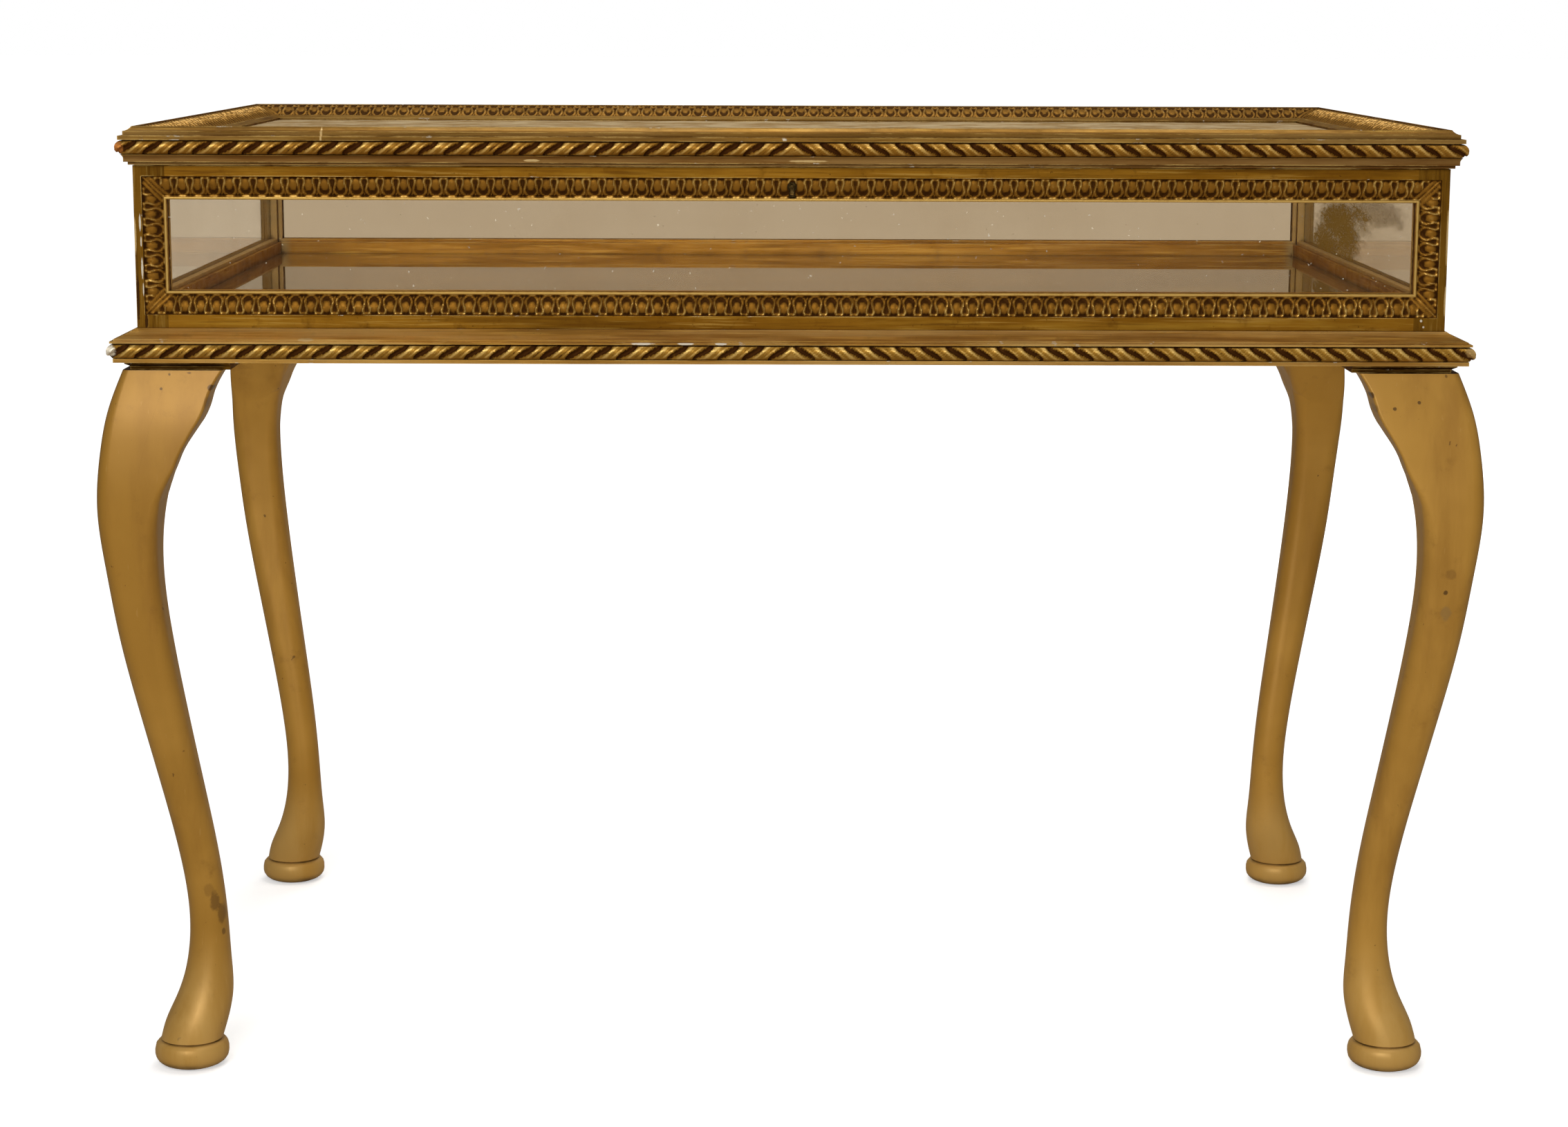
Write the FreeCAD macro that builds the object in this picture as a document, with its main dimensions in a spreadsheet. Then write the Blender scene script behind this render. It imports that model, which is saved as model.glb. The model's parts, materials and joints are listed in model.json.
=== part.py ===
import FreeCAD, Part
import math
import os

import Sketcher
from FreeCAD import Placement, Rotation, Vector

# Collectors display table: a shallow glazed case on four cabriole legs, under a hinged glazed lid.
# Frame: X runs along the front, Y from front to rear, Z up. The origin is on the floor, under the
# middle of the case. Depths "in" are measured inward from the case's outer face.

SIZES = {
    # Case
    "case_width": 1040.0,
    "case_depth": 620.0,
    "case_height": 154.5,
    "post_size": 25.0,
    # Windows of the case: bands of the frame around the egg-and-dart bead
    "low_band": 36.7,
    "high_band": 8.5,
    "side_band": 6.5,
    "bead_width": 18.5,
    "bead_seat_outer": 3.0,
    "bead_seat_inner": 9.0,
    "bead_face_outer": 1.2,
    "bead_face_inner": 5.2,
    "bead_bulge": 1.6,
    "bead_fillet_width": 2.3,
    "bead_fillet_face": 4.4,
    "sight_lip": 3.0,
    "pane_cover": 3.0,
    "pane_thickness": 3.0,
    "pane_clearance": 0.5,
    "glazing_bead_depth": 6.0,
    # Glass floor of the case
    "floor_level": 41.5,
    "floor_thickness": 5.0,
    "ledge_width": 8.0,
    "ledge_height": 10.0,
    # Moulding round the foot of the case
    "base_foot_reach": 17.0,
    "base_foot_height": 3.2,
    "base_rope_height": 12.2,
    "base_rope_seat": 14.0,
    "base_rope_flat": 16.0,
    "base_rope_reach": 21.6,
    "base_fillet_reach": 19.0,
    "base_fillet_height": 1.7,
    "base_step_reach": 16.2,
    "base_step_height": 1.7,
    "base_slope_height": 7.2,
    "base_slope_top": 1.5,
    "base_slope_hollow": 0.9,
    # Lid frame
    "lid_seam": 0.5,
    "lid_foot_reach": 3.0,
    "lid_foot_height": 2.4,
    "lid_neck_reach": 6.0,
    "lid_neck_height": 2.7,
    "lid_hollow_reach": 8.0,
    "lid_hollow_height": 3.1,
    "lid_hollow_sag": 0.5,
    "lid_rope_height": 11.4,
    "lid_rope_seat": 5.0,
    "lid_rope_flat": 6.8,
    "lid_rope_reach": 11.9,
    "lid_step_reach": 9.5,
    "lid_step_height": 3.3,
    "lid_band_reach": 6.0,
    "lid_band_height": 3.6,
    "lid_ridge_height": 3.6,
    "lid_ridge_width": 1.0,
    "lid_ridge_hollow": 0.8,
    "lid_bead_width": 19.0,
    "lid_bead_drop": 9.5,
    "lid_bead_depth": 3.3,
    "lid_bead_fullness": 2.6,
    "lid_bead_bulge": 1.4,
    "lid_fillet_width": 6.0,
    "lid_fillet_drop": 2.4,
    "lid_lip_thickness": 2.0,
    "lid_pane_cover": 4.0,
    "lid_pane_thickness": 4.0,
    "lid_bead_height": 8.0,
    # Legs
    "leg_height": 584.0,
    "cap_thickness": 6.5,
    "cap_reach": 9.5,
    "cap_inset": 74.0,
    "cap_foot_reach": 5.5,
    "cap_foot_height": 2.8,
    "cap_slab_height": 1.6,
    "tenon_size": 12.0,
    "tenon_length": 74.0,
    "tenon_in_leg": 36.0,
    # Foot pad under each leg
    "pad_height": 23.0,
    "pad_inset": 22.5,
    "pad_sole_radius": 19.0,
    "pad_heel_radius": 26.8,
    "pad_heel_height": 3.4,
    "pad_radius": 30.5,
    "pad_waist_low": 9.0,
    "pad_waist_high": 15.0,
    "pad_shoulder_radius": 28.4,
    "pad_shoulder_height": 19.8,
    "pad_neck_radius": 24.5,
    # Knee blocks
    "knee_block_width": 72.0,
    "knee_notch_drop": 15.0,
    "knee_notch_width": 63.5,
    "knee_turn_drop": 46.0,
    "knee_turn_width": 48.5,
    "knee_drop": 104.0,
    "knee_toe_width": 20.6,
    "knee_swell": 1.8,
    "knee_hollow": 1.2,
    "knee_back_in": 5.0,
    "knee_set_back": 0.8,
    "knee_brow": 5.1,
    # Hinges
    "hinge_spacing": 700.0,
    "hinge_length": 50.0,
    "leaf_width": 12.0,
    "leaf_thickness": 1.5,
    "knuckle_radius": 3.0,
    "knuckle_gap": 0.3,
    "pin_radius": 1.5,
    "pin_clearance": 0.05,
    "pin_out": 3.5,
    "hinge_clearance": 0.5,
    # Lock
    "lock_width": 52.0,
    "lock_in": 14.0,
    "lock_wall": 1.2,
    "lock_clearance": 0.5,
    "lock_ear": 7.0,
    "keyhole_web": 0.3,
    "keyhole_radius": 3.0,
    "keyhole_slot_width": 3.0,
    "keyhole_slot_drop": 7.5,
    "keyhole_wall": 0.7,
    "keyhole_in": 2.0,
    "drill_pin_radius": 1.0,
    "bolt_travel": 5.0,
    "bolt_thickness": 2.0,
    "bolt_bar_thickness": 1.5,
    "bolt_bar_height": 3.5,
    "bolt_play": 0.3,
    "bolt_room": 1.5,
    "bolt_finger_drop": 3.8,
    "bolt_finger_height": 3.2,
    "bolt_riser_width": 4.0,
    "talon_width": 5.0,
    "talon_depth": 1.8,
    "staple_spacing": 24.0,
    "staple_thickness": 2.0,
    "staple_width": 5.0,
    "staple_bar": 1.1,
    "staple_clearance": 0.4,
    "link_plate_in": 10.0,
    "link_plate_width": 12.0,
    "link_plate_thickness": 1.2,
}

# Stations of a cabriole leg from the sole of the shaft to its top. Each gives the height, how far
# the outer faces lie in from the case's corner (negative stands out), the width of the square
# section and the radius of its corners.
LEG_STATIONS = {
    "foot": (22.0, -3.0, 51.0, 25.0),
    "instep": (36.0, 0.5, 51.5, 25.2),
    "heel": (56.0, 9.3, 46.3, 22.4),
    "shin": (85.0, 18.2, 36.4, 17.0),
    "ankle": (120.0, 21.5, 31.0, 13.8),
    "calf": (170.0, 17.2, 30.8, 13.2),
    "shaft": (235.0, 5.4, 33.3, 13.2),
    "thigh": (305.0, -8.8, 36.8, 13.0),
    "under_knee": (370.0, -20.6, 39.6, 12.0),
    "low_knee": (425.0, -27.8, 42.4, 11.4),
    "knee": (475.0, -32.2, 50.0, 11.0),
    "high_knee": (520.0, -28.8, 61.5, 10.0),
    "brow": (553.0, -22.4, 64.4, 8.5),
    "top": (584.0, -11.4, 60.0, 6.0),
}
STATION_PARTS = ("level", "inset", "width", "round")

SIDES = ("front", "right", "rear", "left")
CORNERS = ("front_left", "front_right", "rear_right", "rear_left")
UP = Vector(0, 0, 1)

doc = FreeCAD.newDocument("display_table")
sheet = doc.addObject("Spreadsheet::Sheet", "sizes")
nodes = {}


def fill_sheet():
    """Write each driving dimension into the sheet, with its name as the cell's alias."""
    cells = dict(SIZES)
    for name, values in LEG_STATIONS.items():
        for part, value in zip(STATION_PARTS, values):
            cells[f"{name}_{part}"] = value
    for row, (alias, value) in enumerate(cells.items(), start=1):
        sheet.set(f"A{row}", alias)
        sheet.set(f"B{row}", str(value))
        sheet.setAlias(f"B{row}", alias)
    doc.recompute()


class Size:
    """A length: its value in millimetres and the sheet expression that gives it."""

    def __init__(self, value, text):
        self.value = float(value)
        self.text = text

    def __add__(self, other):
        other = as_size(other)
        return Size(self.value + other.value, f"({self.text} + {other.text})")

    def __sub__(self, other):
        other = as_size(other)
        return Size(self.value - other.value, f"({self.text} - {other.text})")

    def __mul__(self, other):
        other = as_size(other)
        return Size(self.value * other.value, f"({self.text} * {other.text})")

    def __truediv__(self, other):
        other = as_size(other)
        return Size(self.value / other.value, f"({self.text} / {other.text})")

    def __radd__(self, other):
        return as_size(other) + self

    def __rsub__(self, other):
        return as_size(other) - self

    def __rmul__(self, other):
        return as_size(other) * self

    def __neg__(self):
        return Size(-self.value, f"(0 - {self.text})")

    def root(self):
        return Size(math.sqrt(self.value), f"sqrt({self.text})")


def as_size(value):
    return value if isinstance(value, Size) else Size(value, f"({float(value)})")


def size(name):
    """The driving dimension of this name, read from the sheet."""
    return Size(sheet.get(name), f"sizes.{name}")


def bind(obj, path, value):
    """Set a property to a size and tie it to the sheet."""
    value = as_size(value)
    if "." not in path and "[" not in path:
        setattr(obj, path, value.value)
    if "sizes." in value.text:
        obj.setExpression(path, value.text)


def place(obj, x, y, z, rotation=Rotation()):
    x, y, z = as_size(x), as_size(y), as_size(z)
    obj.Placement = Placement(Vector(x.value, y.value, z.value), rotation)
    for axis, value in zip("xyz", (x, y, z)):
        bind(obj, f"Placement.Base.{axis}", value)


def turned(quarter, x, y):
    """The point (x, y) of the front side, carried round to another side of the table."""
    return ((x, y), (-y, x), (-x, -y), (y, -x))[quarter % 4]


def quarter_turn(quarter):
    return Rotation(UP, 90 * quarter)


def along_and_across(quarter):
    """Half the case's length along a side, and half its length across it."""
    half = size("case_width") / 2, size("case_depth") / 2
    return half if quarter % 2 == 0 else half[::-1]


# ---------------------------------------------------------------- sketches and features


def new_body(label):
    return doc.addObject("PartDesign::Body", label)


def origin_plane(body, role):
    return next(item for item in body.Origin.OriginFeatures if item.Role == role)


def arc_between(start, end, bulge):
    """The arc from start to end that bulges by this much to the right of the way it runs."""
    run = end - start
    chord = run.Length
    radius = (chord**2 / 4 + bulge**2) / (2 * abs(bulge))
    right = Vector(run.y, -run.x, 0) / chord
    apex = (start + end) / 2 + right * bulge
    centre = apex - right * math.copysign(radius, bulge)
    angles = [math.atan2(point.y - centre.y, point.x - centre.x) for point in (start, end)]
    if bulge < 0:
        angles.reverse()
    if angles[1] < angles[0]:
        angles[1] += 2 * math.pi
    return Part.ArcOfCircle(Part.Circle(centre, UP, radius), *angles)


def draw_loop(sketch, corners):
    """Draw one closed outline. A corner is (x, y), or (x, y, bulge) where an arc leaves it."""
    corners = [tuple(as_size(value) for value in corner) for corner in corners]
    first = sketch.GeometryCount
    ends = []
    for number, corner in enumerate(corners):
        after = corners[(number + 1) % len(corners)]
        start = Vector(corner[0].value, corner[1].value, 0)
        end = Vector(after[0].value, after[1].value, 0)
        if len(corner) == 2:
            sketch.addGeometry(Part.LineSegment(start, end), False)
            ends.append((1, 2))
        else:
            sketch.addGeometry(arc_between(start, end, corner[2].value), False)
            ends.append((1, 2) if corner[2].value > 0 else (2, 1))
    for number, corner in enumerate(corners):
        edge, following = first + number, (number + 1) % len(corners)
        join = (edge, ends[number][1], first + following, ends[following][0])
        sketch.addConstraint(Sketcher.Constraint("Coincident", *join))
        for kind, value in zip(("DistanceX", "DistanceY"), corner):
            rule = Sketcher.Constraint(kind, -1, 1, edge, ends[number][0], value.value)
            bind(sketch, f"Constraints[{sketch.addConstraint(rule)}]", value)
        if len(corner) == 3:
            after = corners[following]
            across, rise = after[0] - corner[0], after[1] - corner[1]
            bulge = corner[2] if corner[2].value > 0 else -corner[2]
            radius = ((across * across + rise * rise) / 4 + bulge * bulge) / (2 * bulge)
            rule = Sketcher.Constraint("Radius", edge, radius.value)
            bind(sketch, f"Constraints[{sketch.addConstraint(rule)}]", radius)


def new_sketch(body, name, role, loops=(), shift=(0, 0, 0)):
    """A sketch on one of the body's own planes, shifted along that plane's axes."""
    sketch = body.newObject("Sketcher::SketchObject", f"{body.Label}_{name}")
    sketch.AttachmentSupport = [(origin_plane(body, role), "")]
    sketch.MapMode = "FlatFace"
    shift = [as_size(value) for value in shift]
    sketch.AttachmentOffset = Placement(Vector(*[value.value for value in shift]), Rotation())
    for axis, value in zip("xyz", shift):
        bind(sketch, f"AttachmentOffset.Base.{axis}", value)
    for loop in loops:
        draw_loop(sketch, loop)
    return sketch


def add_pad(body, sketch, length, side="One side", backwards=False):
    pad = body.newObject("PartDesign::Pad", f"{sketch.Label}_pad")
    pad.Profile = sketch
    pad.SideType = side
    pad.Reversed = backwards
    bind(pad, "Length", length)
    return pad


def add_pocket(body, sketch, length=None, side="Symmetric", backwards=False):
    """A pocket of this depth, or right through when none is given."""
    pocket = body.newObject("PartDesign::Pocket", f"{sketch.Label}_pocket")
    pocket.Profile = sketch
    pocket.SideType = side
    pocket.Reversed = backwards
    if length is None:
        pocket.Type = "ThroughAll"
    else:
        bind(pocket, "Length", length)
    return pocket


# ---------------------------------------------------------------- primitives and booleans


def box(name, low, high, quarter=0):
    """A box between two corners of the front side, carried round to another side."""
    low = [as_size(value) for value in low]
    high = [as_size(value) for value in high]
    solid = doc.addObject("Part::Box", name)
    for prop, near, far in zip(("Length", "Width", "Height"), low, high):
        bind(solid, prop, far - near)
    place(solid, *turned(quarter, low[0], low[1]), low[2], quarter_turn(quarter))
    return solid


def cylinder(name, centre, radius, length, rotation=Rotation()):
    solid = doc.addObject("Part::Cylinder", name)
    bind(solid, "Radius", radius)
    bind(solid, "Height", length)
    place(solid, *centre, rotation)
    return solid


def fuse(name, shapes):
    union = doc.addObject("Part::MultiFuse", name)
    union.Shapes = shapes
    return union


def cut(name, base, tool):
    remainder = doc.addObject("Part::Cut", name)
    remainder.Base = base
    remainder.Tool = tool
    return remainder


def keep(label, obj):
    """Enter an object as the sub-part of this name."""
    obj.Label = label
    nodes[label] = obj
    return obj


def keep_group(label, objects):
    """Enter several like pieces as one sub-part."""
    group = doc.addObject("Part::Compound", label)
    group.Links = objects
    return keep(label, group)


# ---------------------------------------------------------------- mitred frames

MITRE_MARGIN = 1.0


def mitred(label, run, across, section, outer, inner):
    """One member of a rectangular frame, lying along X on the frame's -Y side.

    The section is drawn in (t, z), with t inward from the frame's reference rectangle, and both
    ends are sawn at 45 degrees from t = outer to t = inner.
    """
    body = new_body(label)
    loop = [(corner[0] - across, *corner[1:]) for corner in section]
    profile = new_sketch(body, "section", "YZ_Plane", [loop])
    add_pad(body, profile, 2 * (run - outer), "Symmetric")
    near, far = outer - MITRE_MARGIN, inner + MITRE_MARGIN
    wedges = []
    for end in (1, -1):
        tip, heel = end * (run - near), end * (run - far)
        wedges.append([(tip, near - across), (heel, far - across), (tip, far - across)])
    add_pocket(body, new_sketch(body, "mitres", "XY_Plane", wedges))
    return body


def ring(prefix, half_x, half_y, section, outer, inner, level=0, turn=Rotation()):
    """The four mitred members of a rectangular frame, in the order of SIDES."""
    members = []
    for quarter, side in enumerate(SIDES):
        run, across = (half_x, half_y) if quarter % 2 == 0 else (half_y, half_x)
        body = mitred(f"{prefix}_{side}", run, across, section, as_size(outer), as_size(inner))
        place(body, 0, 0, level, turn * quarter_turn(quarter))
        members.append(body)
    return members


# ---------------------------------------------------------------- shared levels


def levels():
    """The heights that pieces of the case and the lid share."""
    level = {"base": size("leg_height") + size("cap_thickness")}
    level["case_top"] = level["base"] + size("case_height")
    level["window_low"] = level["base"] + size("low_band")
    level["window_high"] = level["case_top"] - size("high_band")
    level["window_middle"] = (level["window_low"] + level["window_high"]) / 2
    level["sight_low"] = level["window_low"] + size("bead_width")
    level["sight_high"] = level["window_high"] - size("bead_width")
    level["floor_top"] = level["base"] + size("floor_level")
    level["floor_low"] = level["floor_top"] - size("floor_thickness")
    level["lid"] = level["case_top"] + size("lid_seam")
    level["hinge"] = level["case_top"] + size("lid_seam") / 2
    level["rebate_high"] = level["sight_high"] + size("pane_cover")
    level["lock"] = level["rebate_high"] + size("lock_clearance")
    level["key_foot"] = level["rebate_high"] + size("keyhole_web") + size("keyhole_wall")
    level["key"] = level["key_foot"] + size("keyhole_slot_drop")
    return level


def pane_in():
    """How far in the outer face of a case pane lies."""
    return size("bead_seat_inner") + size("sight_lip")


# ---------------------------------------------------------------- legs

CORNER_FLATS = 3


def station(name):
    level = size("leg_height") if name == "top" else size(f"{name}_level")
    return [level] + [size(f"{name}_{part}") for part in STATION_PARTS[1:]]


def rounded_square(inset, width, corner):
    """A square section on the leg's diagonal, its corners worked round in narrow flats."""
    near, far = inset + corner, inset + width - corner
    outline = []
    for quarter, (x, y) in enumerate(((far, near), (far, far), (near, far), (near, near))):
        for flat in range(CORNER_FLATS + 1):
            angle = math.radians(90 * (quarter - 1 + flat / CORNER_FLATS))
            outline.append((x + corner * math.cos(angle), y + corner * math.sin(angle)))
    return outline


def square(near, far):
    return [(near, near), (far, near), (far, far), (near, far)]


def tenon_section():
    """The section of the loose tenon under each post, in the middle of the post."""
    near = (size("post_size") - size("tenon_size")) / 2
    return square(near, near + size("tenon_size"))


def place_at_corner(obj, quarter, inset=0, level=0):
    """Stand an object drawn inward from a corner of the case at one of the four corners."""
    signs = ((-1, -1), (1, -1), (1, 1), (-1, 1))[quarter]
    half_x, half_y = size("case_width") / 2 - inset, size("case_depth") / 2 - inset
    place(obj, half_x * signs[0], half_y * signs[1], level, quarter_turn(quarter))


def make_leg(quarter, corner):
    """A cabriole leg: a shaft lofted through rounded squares, on a turned pad."""
    body = new_body(f"leg_{corner}")
    sections = []
    for name in LEG_STATIONS:
        level, inset, width, rounding = station(name)
        loop = rounded_square(inset, width, rounding)
        sections.append(new_sketch(body, name, "XY_Plane", [loop], (0, 0, level)))
    shaft = body.newObject("PartDesign::AdditiveLoft", f"{body.Label}_shaft")
    shaft.Profile = sections[0]
    shaft.Sections = sections[1:]

    inset = size("pad_inset")
    outline = [(0, 0), (size("pad_sole_radius"), 0),
               (size("pad_heel_radius"), size("pad_heel_height")),
               (size("pad_radius"), size("pad_waist_low")),
               (size("pad_radius"), size("pad_waist_high")),
               (size("pad_shoulder_radius"), size("pad_shoulder_height")),
               (size("pad_neck_radius"), size("pad_height")), (0, size("pad_height"))]
    profile = new_sketch(body, "pad", "XZ_Plane", [outline], (inset, 0, -inset))
    foot = body.newObject("PartDesign::Revolution", f"{body.Label}_foot")
    foot.Profile = profile
    foot.ReferenceAxis = (profile, ["V_Axis"])
    foot.Angle = 360

    mortise = new_sketch(body, "mortise", "XY_Plane", [tenon_section()],
                         (0, 0, size("leg_height")))
    add_pocket(body, mortise, size("tenon_in_leg"), "One side")
    place_at_corner(body, quarter)
    return keep(body.Label, body)


KNEE_MARGIN = 6.0
KNEE_REACH = 60.0


def make_knee_block(quarter, corner, leg, face):
    """A block glued to one inner face of a leg, which carries on the knee's swelling face.

    The block's outline is drawn on the plane named by face, and the swelling of its own face on
    the other upright plane.
    """
    body = new_body(f"knee_block_{face[:2].lower()}_{corner}")
    _, top_inset, top_width, top_round = station("top")
    _, knee_inset, knee_width, knee_round = station("knee")
    top = size("leg_height")
    toe = top - size("knee_drop")
    outline = [
        (top_inset + top_width - top_round, top),
        (knee_inset + knee_width - knee_round, toe),
        (size("knee_toe_width"), toe, -size("knee_hollow")),
        (size("knee_turn_width"), top - size("knee_turn_drop"), size("knee_swell")),
        (size("knee_notch_width"), top - size("knee_notch_drop")),
        (size("knee_block_width"), top),
    ]
    back = knee_inset + knee_width - size("knee_back_in")
    towards = -1 if face == "XZ_Plane" else 1
    front = new_sketch(body, "outline", face, [outline], (0, 0, towards * back))
    add_pad(body, front, back + KNEE_REACH, backwards=face == "YZ_Plane")

    other = "YZ_Plane" if face == "XZ_Plane" else "XZ_Plane"
    proud_top = top_inset + size("knee_set_back")
    proud_toe = knee_inset + size("knee_set_back")
    waste = [
        (-KNEE_REACH, toe - KNEE_MARGIN),
        (proud_toe, toe - KNEE_MARGIN),
        (proud_toe, toe, -size("knee_brow")),
        (proud_top, top),
        (proud_top, top + KNEE_MARGIN),
        (-KNEE_REACH, top + KNEE_MARGIN),
    ]
    add_pocket(body, new_sketch(body, "swelling", other, [waste]))
    place_at_corner(body, quarter)
    return cut(f"{body.Label}_fitted", body, leg)


def make_leg_cap(quarter, corner):
    """The moulded square block between a leg and the case, in three layers."""
    body = new_body(f"leg_cap_{corner}")
    foot, reach, inset = size("cap_foot_reach"), size("cap_reach"), size("cap_inset")
    under, top = size("cap_foot_height"), size("cap_thickness")
    add_pad(body, new_sketch(body, "foot", "XY_Plane", [square(-foot, inset)]), under)
    low = new_sketch(body, "hollow_low", "XY_Plane", [square(-foot, inset)], (0, 0, under))
    slab_level = top - size("cap_slab_height")
    high = new_sketch(body, "hollow_high", "XY_Plane", [square(-reach, inset)],
                      (0, 0, slab_level))
    hollow = body.newObject("PartDesign::AdditiveLoft", f"{body.Label}_hollow")
    hollow.Profile = low
    hollow.Sections = [high]
    slab = new_sketch(body, "slab", "XY_Plane", [square(-reach, inset)], (0, 0, slab_level))
    add_pad(body, slab, size("cap_slab_height"))
    add_pocket(body, new_sketch(body, "mortise", "XY_Plane", [tenon_section()]))
    place_at_corner(body, quarter, level=size("leg_height"))
    keep(body.Label, body)


def leg_tenon(quarter, corner):
    """The loose tenon that joins a leg through its cap to the post above it."""
    side = size("tenon_size")
    tenon = box(f"leg_tenon_{corner}", (0, 0, 0), (side, side, size("tenon_length")))
    place_at_corner(tenon, quarter, (size("post_size") - side) / 2,
                    size("leg_height") - size("tenon_in_leg"))
    return tenon


def make_legs():
    knee_blocks, tenons = [], []
    for quarter, corner in enumerate(CORNERS):
        leg = make_leg(quarter, corner)
        for face in ("XZ_Plane", "YZ_Plane"):
            knee_blocks.append(make_knee_block(quarter, corner, leg, face))
        make_leg_cap(quarter, corner)
        tenons.append(leg_tenon(quarter, corner))
    keep_group("knee_blocks", knee_blocks)
    keep_group("leg_tenons", tenons)
    return tenons


# ---------------------------------------------------------------- case


def window_void(quarter, level):
    """All that a window takes out of the posts beside it: bead seat, sight edge and rebate."""
    run, across = along_and_across(quarter)
    side = SIDES[quarter]
    seat_x, sight_x = run - size("side_band"), run - size("side_band") - size("bead_width")
    low, high = level["window_low"], level["window_high"]
    sight_low, sight_high = level["sight_low"], level["sight_high"]
    cover = size("pane_cover")
    outer, inner = size("bead_seat_outer") - across, size("bead_seat_inner") - across
    lip, back = pane_in() - across, size("post_size") + MITRE_MARGIN - across
    recess = box(f"void_recess_{side}", (-seat_x, -MITRE_MARGIN - across, low),
                 (seat_x, outer, high), quarter)
    sight = box(f"void_sight_{side}", (-sight_x, inner, sight_low),
                (sight_x, lip, sight_high), quarter)
    rebate = box(f"void_rebate_{side}", (-sight_x - cover, lip, sight_low - cover),
                 (sight_x + cover, back, sight_high + cover), quarter)
    seat = doc.addObject("Part::Wedge", f"void_seat_{side}")
    extents = {"Xmin": -seat_x, "Xmax": seat_x, "X2min": -sight_x, "X2max": sight_x,
               "Zmin": low, "Zmax": high, "Z2min": sight_low, "Z2max": sight_high,
               "Ymin": outer, "Ymax": inner}
    for prop, value in extents.items():
        bind(seat, prop, value)
    place(seat, 0, 0, 0, quarter_turn(quarter))
    return fuse(f"window_void_{side}", [recess, seat, sight, rebate])


def make_posts(level, tenons):
    """Square corner posts, cut away for the windows on both sides and mortised for the leg."""
    voids = [window_void(quarter, level) for quarter in range(4)]
    for quarter, corner in enumerate(CORNERS):
        blank = new_body(f"post_blank_{corner}")
        sketch = new_sketch(blank, "section", "XY_Plane", [square(0, size("post_size"))])
        add_pad(blank, sketch, size("case_height"))
        place_at_corner(blank, quarter, level=level["base"])
        waste = fuse(f"post_waste_{corner}", [voids[quarter - 1], voids[quarter],
                                              tenons[quarter]])
        label = f"corner_post_{corner}"
        keep(label, cut(label, blank, waste))


def make_rail(label, quarter, section):
    """A case rail between two posts, planed to this section."""
    run, across = along_and_across(quarter)
    body = new_body(label)
    loop = [(depth - across, height) for depth, height in section]
    profile = new_sketch(body, "section", "YZ_Plane", [loop])
    add_pad(body, profile, 2 * (run - size("post_size")), "Symmetric")
    place(body, 0, 0, 0, quarter_turn(quarter))
    return body


def make_rails(level):
    """Top and bottom rails of the four sides. The two that carry fittings are returned."""
    outer, inner = size("bead_seat_outer"), size("bead_seat_inner")
    lip, back, cover = pane_in(), size("post_size"), size("pane_cover")
    bottom = [(0, level["base"]), (back, level["base"]), (back, level["sight_low"] - cover),
              (lip, level["sight_low"] - cover), (lip, level["sight_low"]),
              (inner, level["sight_low"]), (outer, level["window_low"]),
              (0, level["window_low"])]
    top = [(0, level["case_top"]), (0, level["window_high"]), (outer, level["window_high"]),
           (inner, level["sight_high"]), (lip, level["sight_high"]),
           (lip, level["sight_high"] + cover), (back, level["sight_high"] + cover),
           (back, level["case_top"])]
    top_rails = {}
    for quarter, side in enumerate(SIDES):
        label = f"bottom_rail_{side}"
        keep(label, make_rail(label, quarter, bottom))
        fitted = side in ("front", "rear")
        label = f"top_rail_{side}"
        rail = make_rail(f"{label}_blank" if fitted else label, quarter, top)
        if fitted:
            top_rails[side] = rail
        else:
            keep(label, rail)
    return top_rails


def make_windows(level):
    """Egg-and-dart beads, panes and the inner beads that hold the panes."""
    case_half_height = (level["window_high"] - level["window_low"]) / 2
    pane_out = pane_in()
    glazing, front_bead = [], None
    for quarter, side in enumerate(SIDES):
        run, across = along_and_across(quarter)
        turn = quarter_turn(quarter) * Rotation(Vector(1, 0, 0), -90)
        fillet = size("bead_width") - size("bead_fillet_width")
        section = [
            (0, size("bead_face_outer") - across, size("bead_bulge")),
            (fillet, size("bead_face_inner") - across),
            (fillet, size("bead_fillet_face") - across),
            (size("bead_width"), size("bead_fillet_face") - across),
            (size("bead_width"), size("bead_seat_inner") - across),
            (0, size("bead_seat_outer") - across),
        ]
        beads = ring(f"bead_{side}", run - size("side_band"), case_half_height, section,
                     0, size("bead_width"), level["window_middle"], turn)
        if side == "front":
            front_bead = beads
        else:
            keep_group(f"egg_and_dart_{side}", beads)

        inset = size("side_band") + size("bead_width") - size("pane_cover")
        height = case_half_height - size("bead_width") + size("pane_cover")
        near, far = pane_out + size("pane_thickness") - across, size("glazing_bead_depth")
        section = [(0, near), (size("pane_cover"), near), (size("pane_cover"), near + far),
                   (0, near + far)]
        glazing += ring(f"glazing_bead_{side}", run - inset, height, section,
                        0, size("pane_cover"), level["window_middle"], turn)

        play = size("pane_clearance")
        half_x, half_z = run - inset - play, height - play
        label = f"pane_{side}"
        pane = box(label, (-half_x, pane_out - across, level["window_middle"] - half_z),
                   (half_x, pane_out + size("pane_thickness") - across,
                    level["window_middle"] + half_z), quarter)
        keep(label, pane)
    keep_group("glazing_beads", glazing)
    return front_bead


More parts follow.
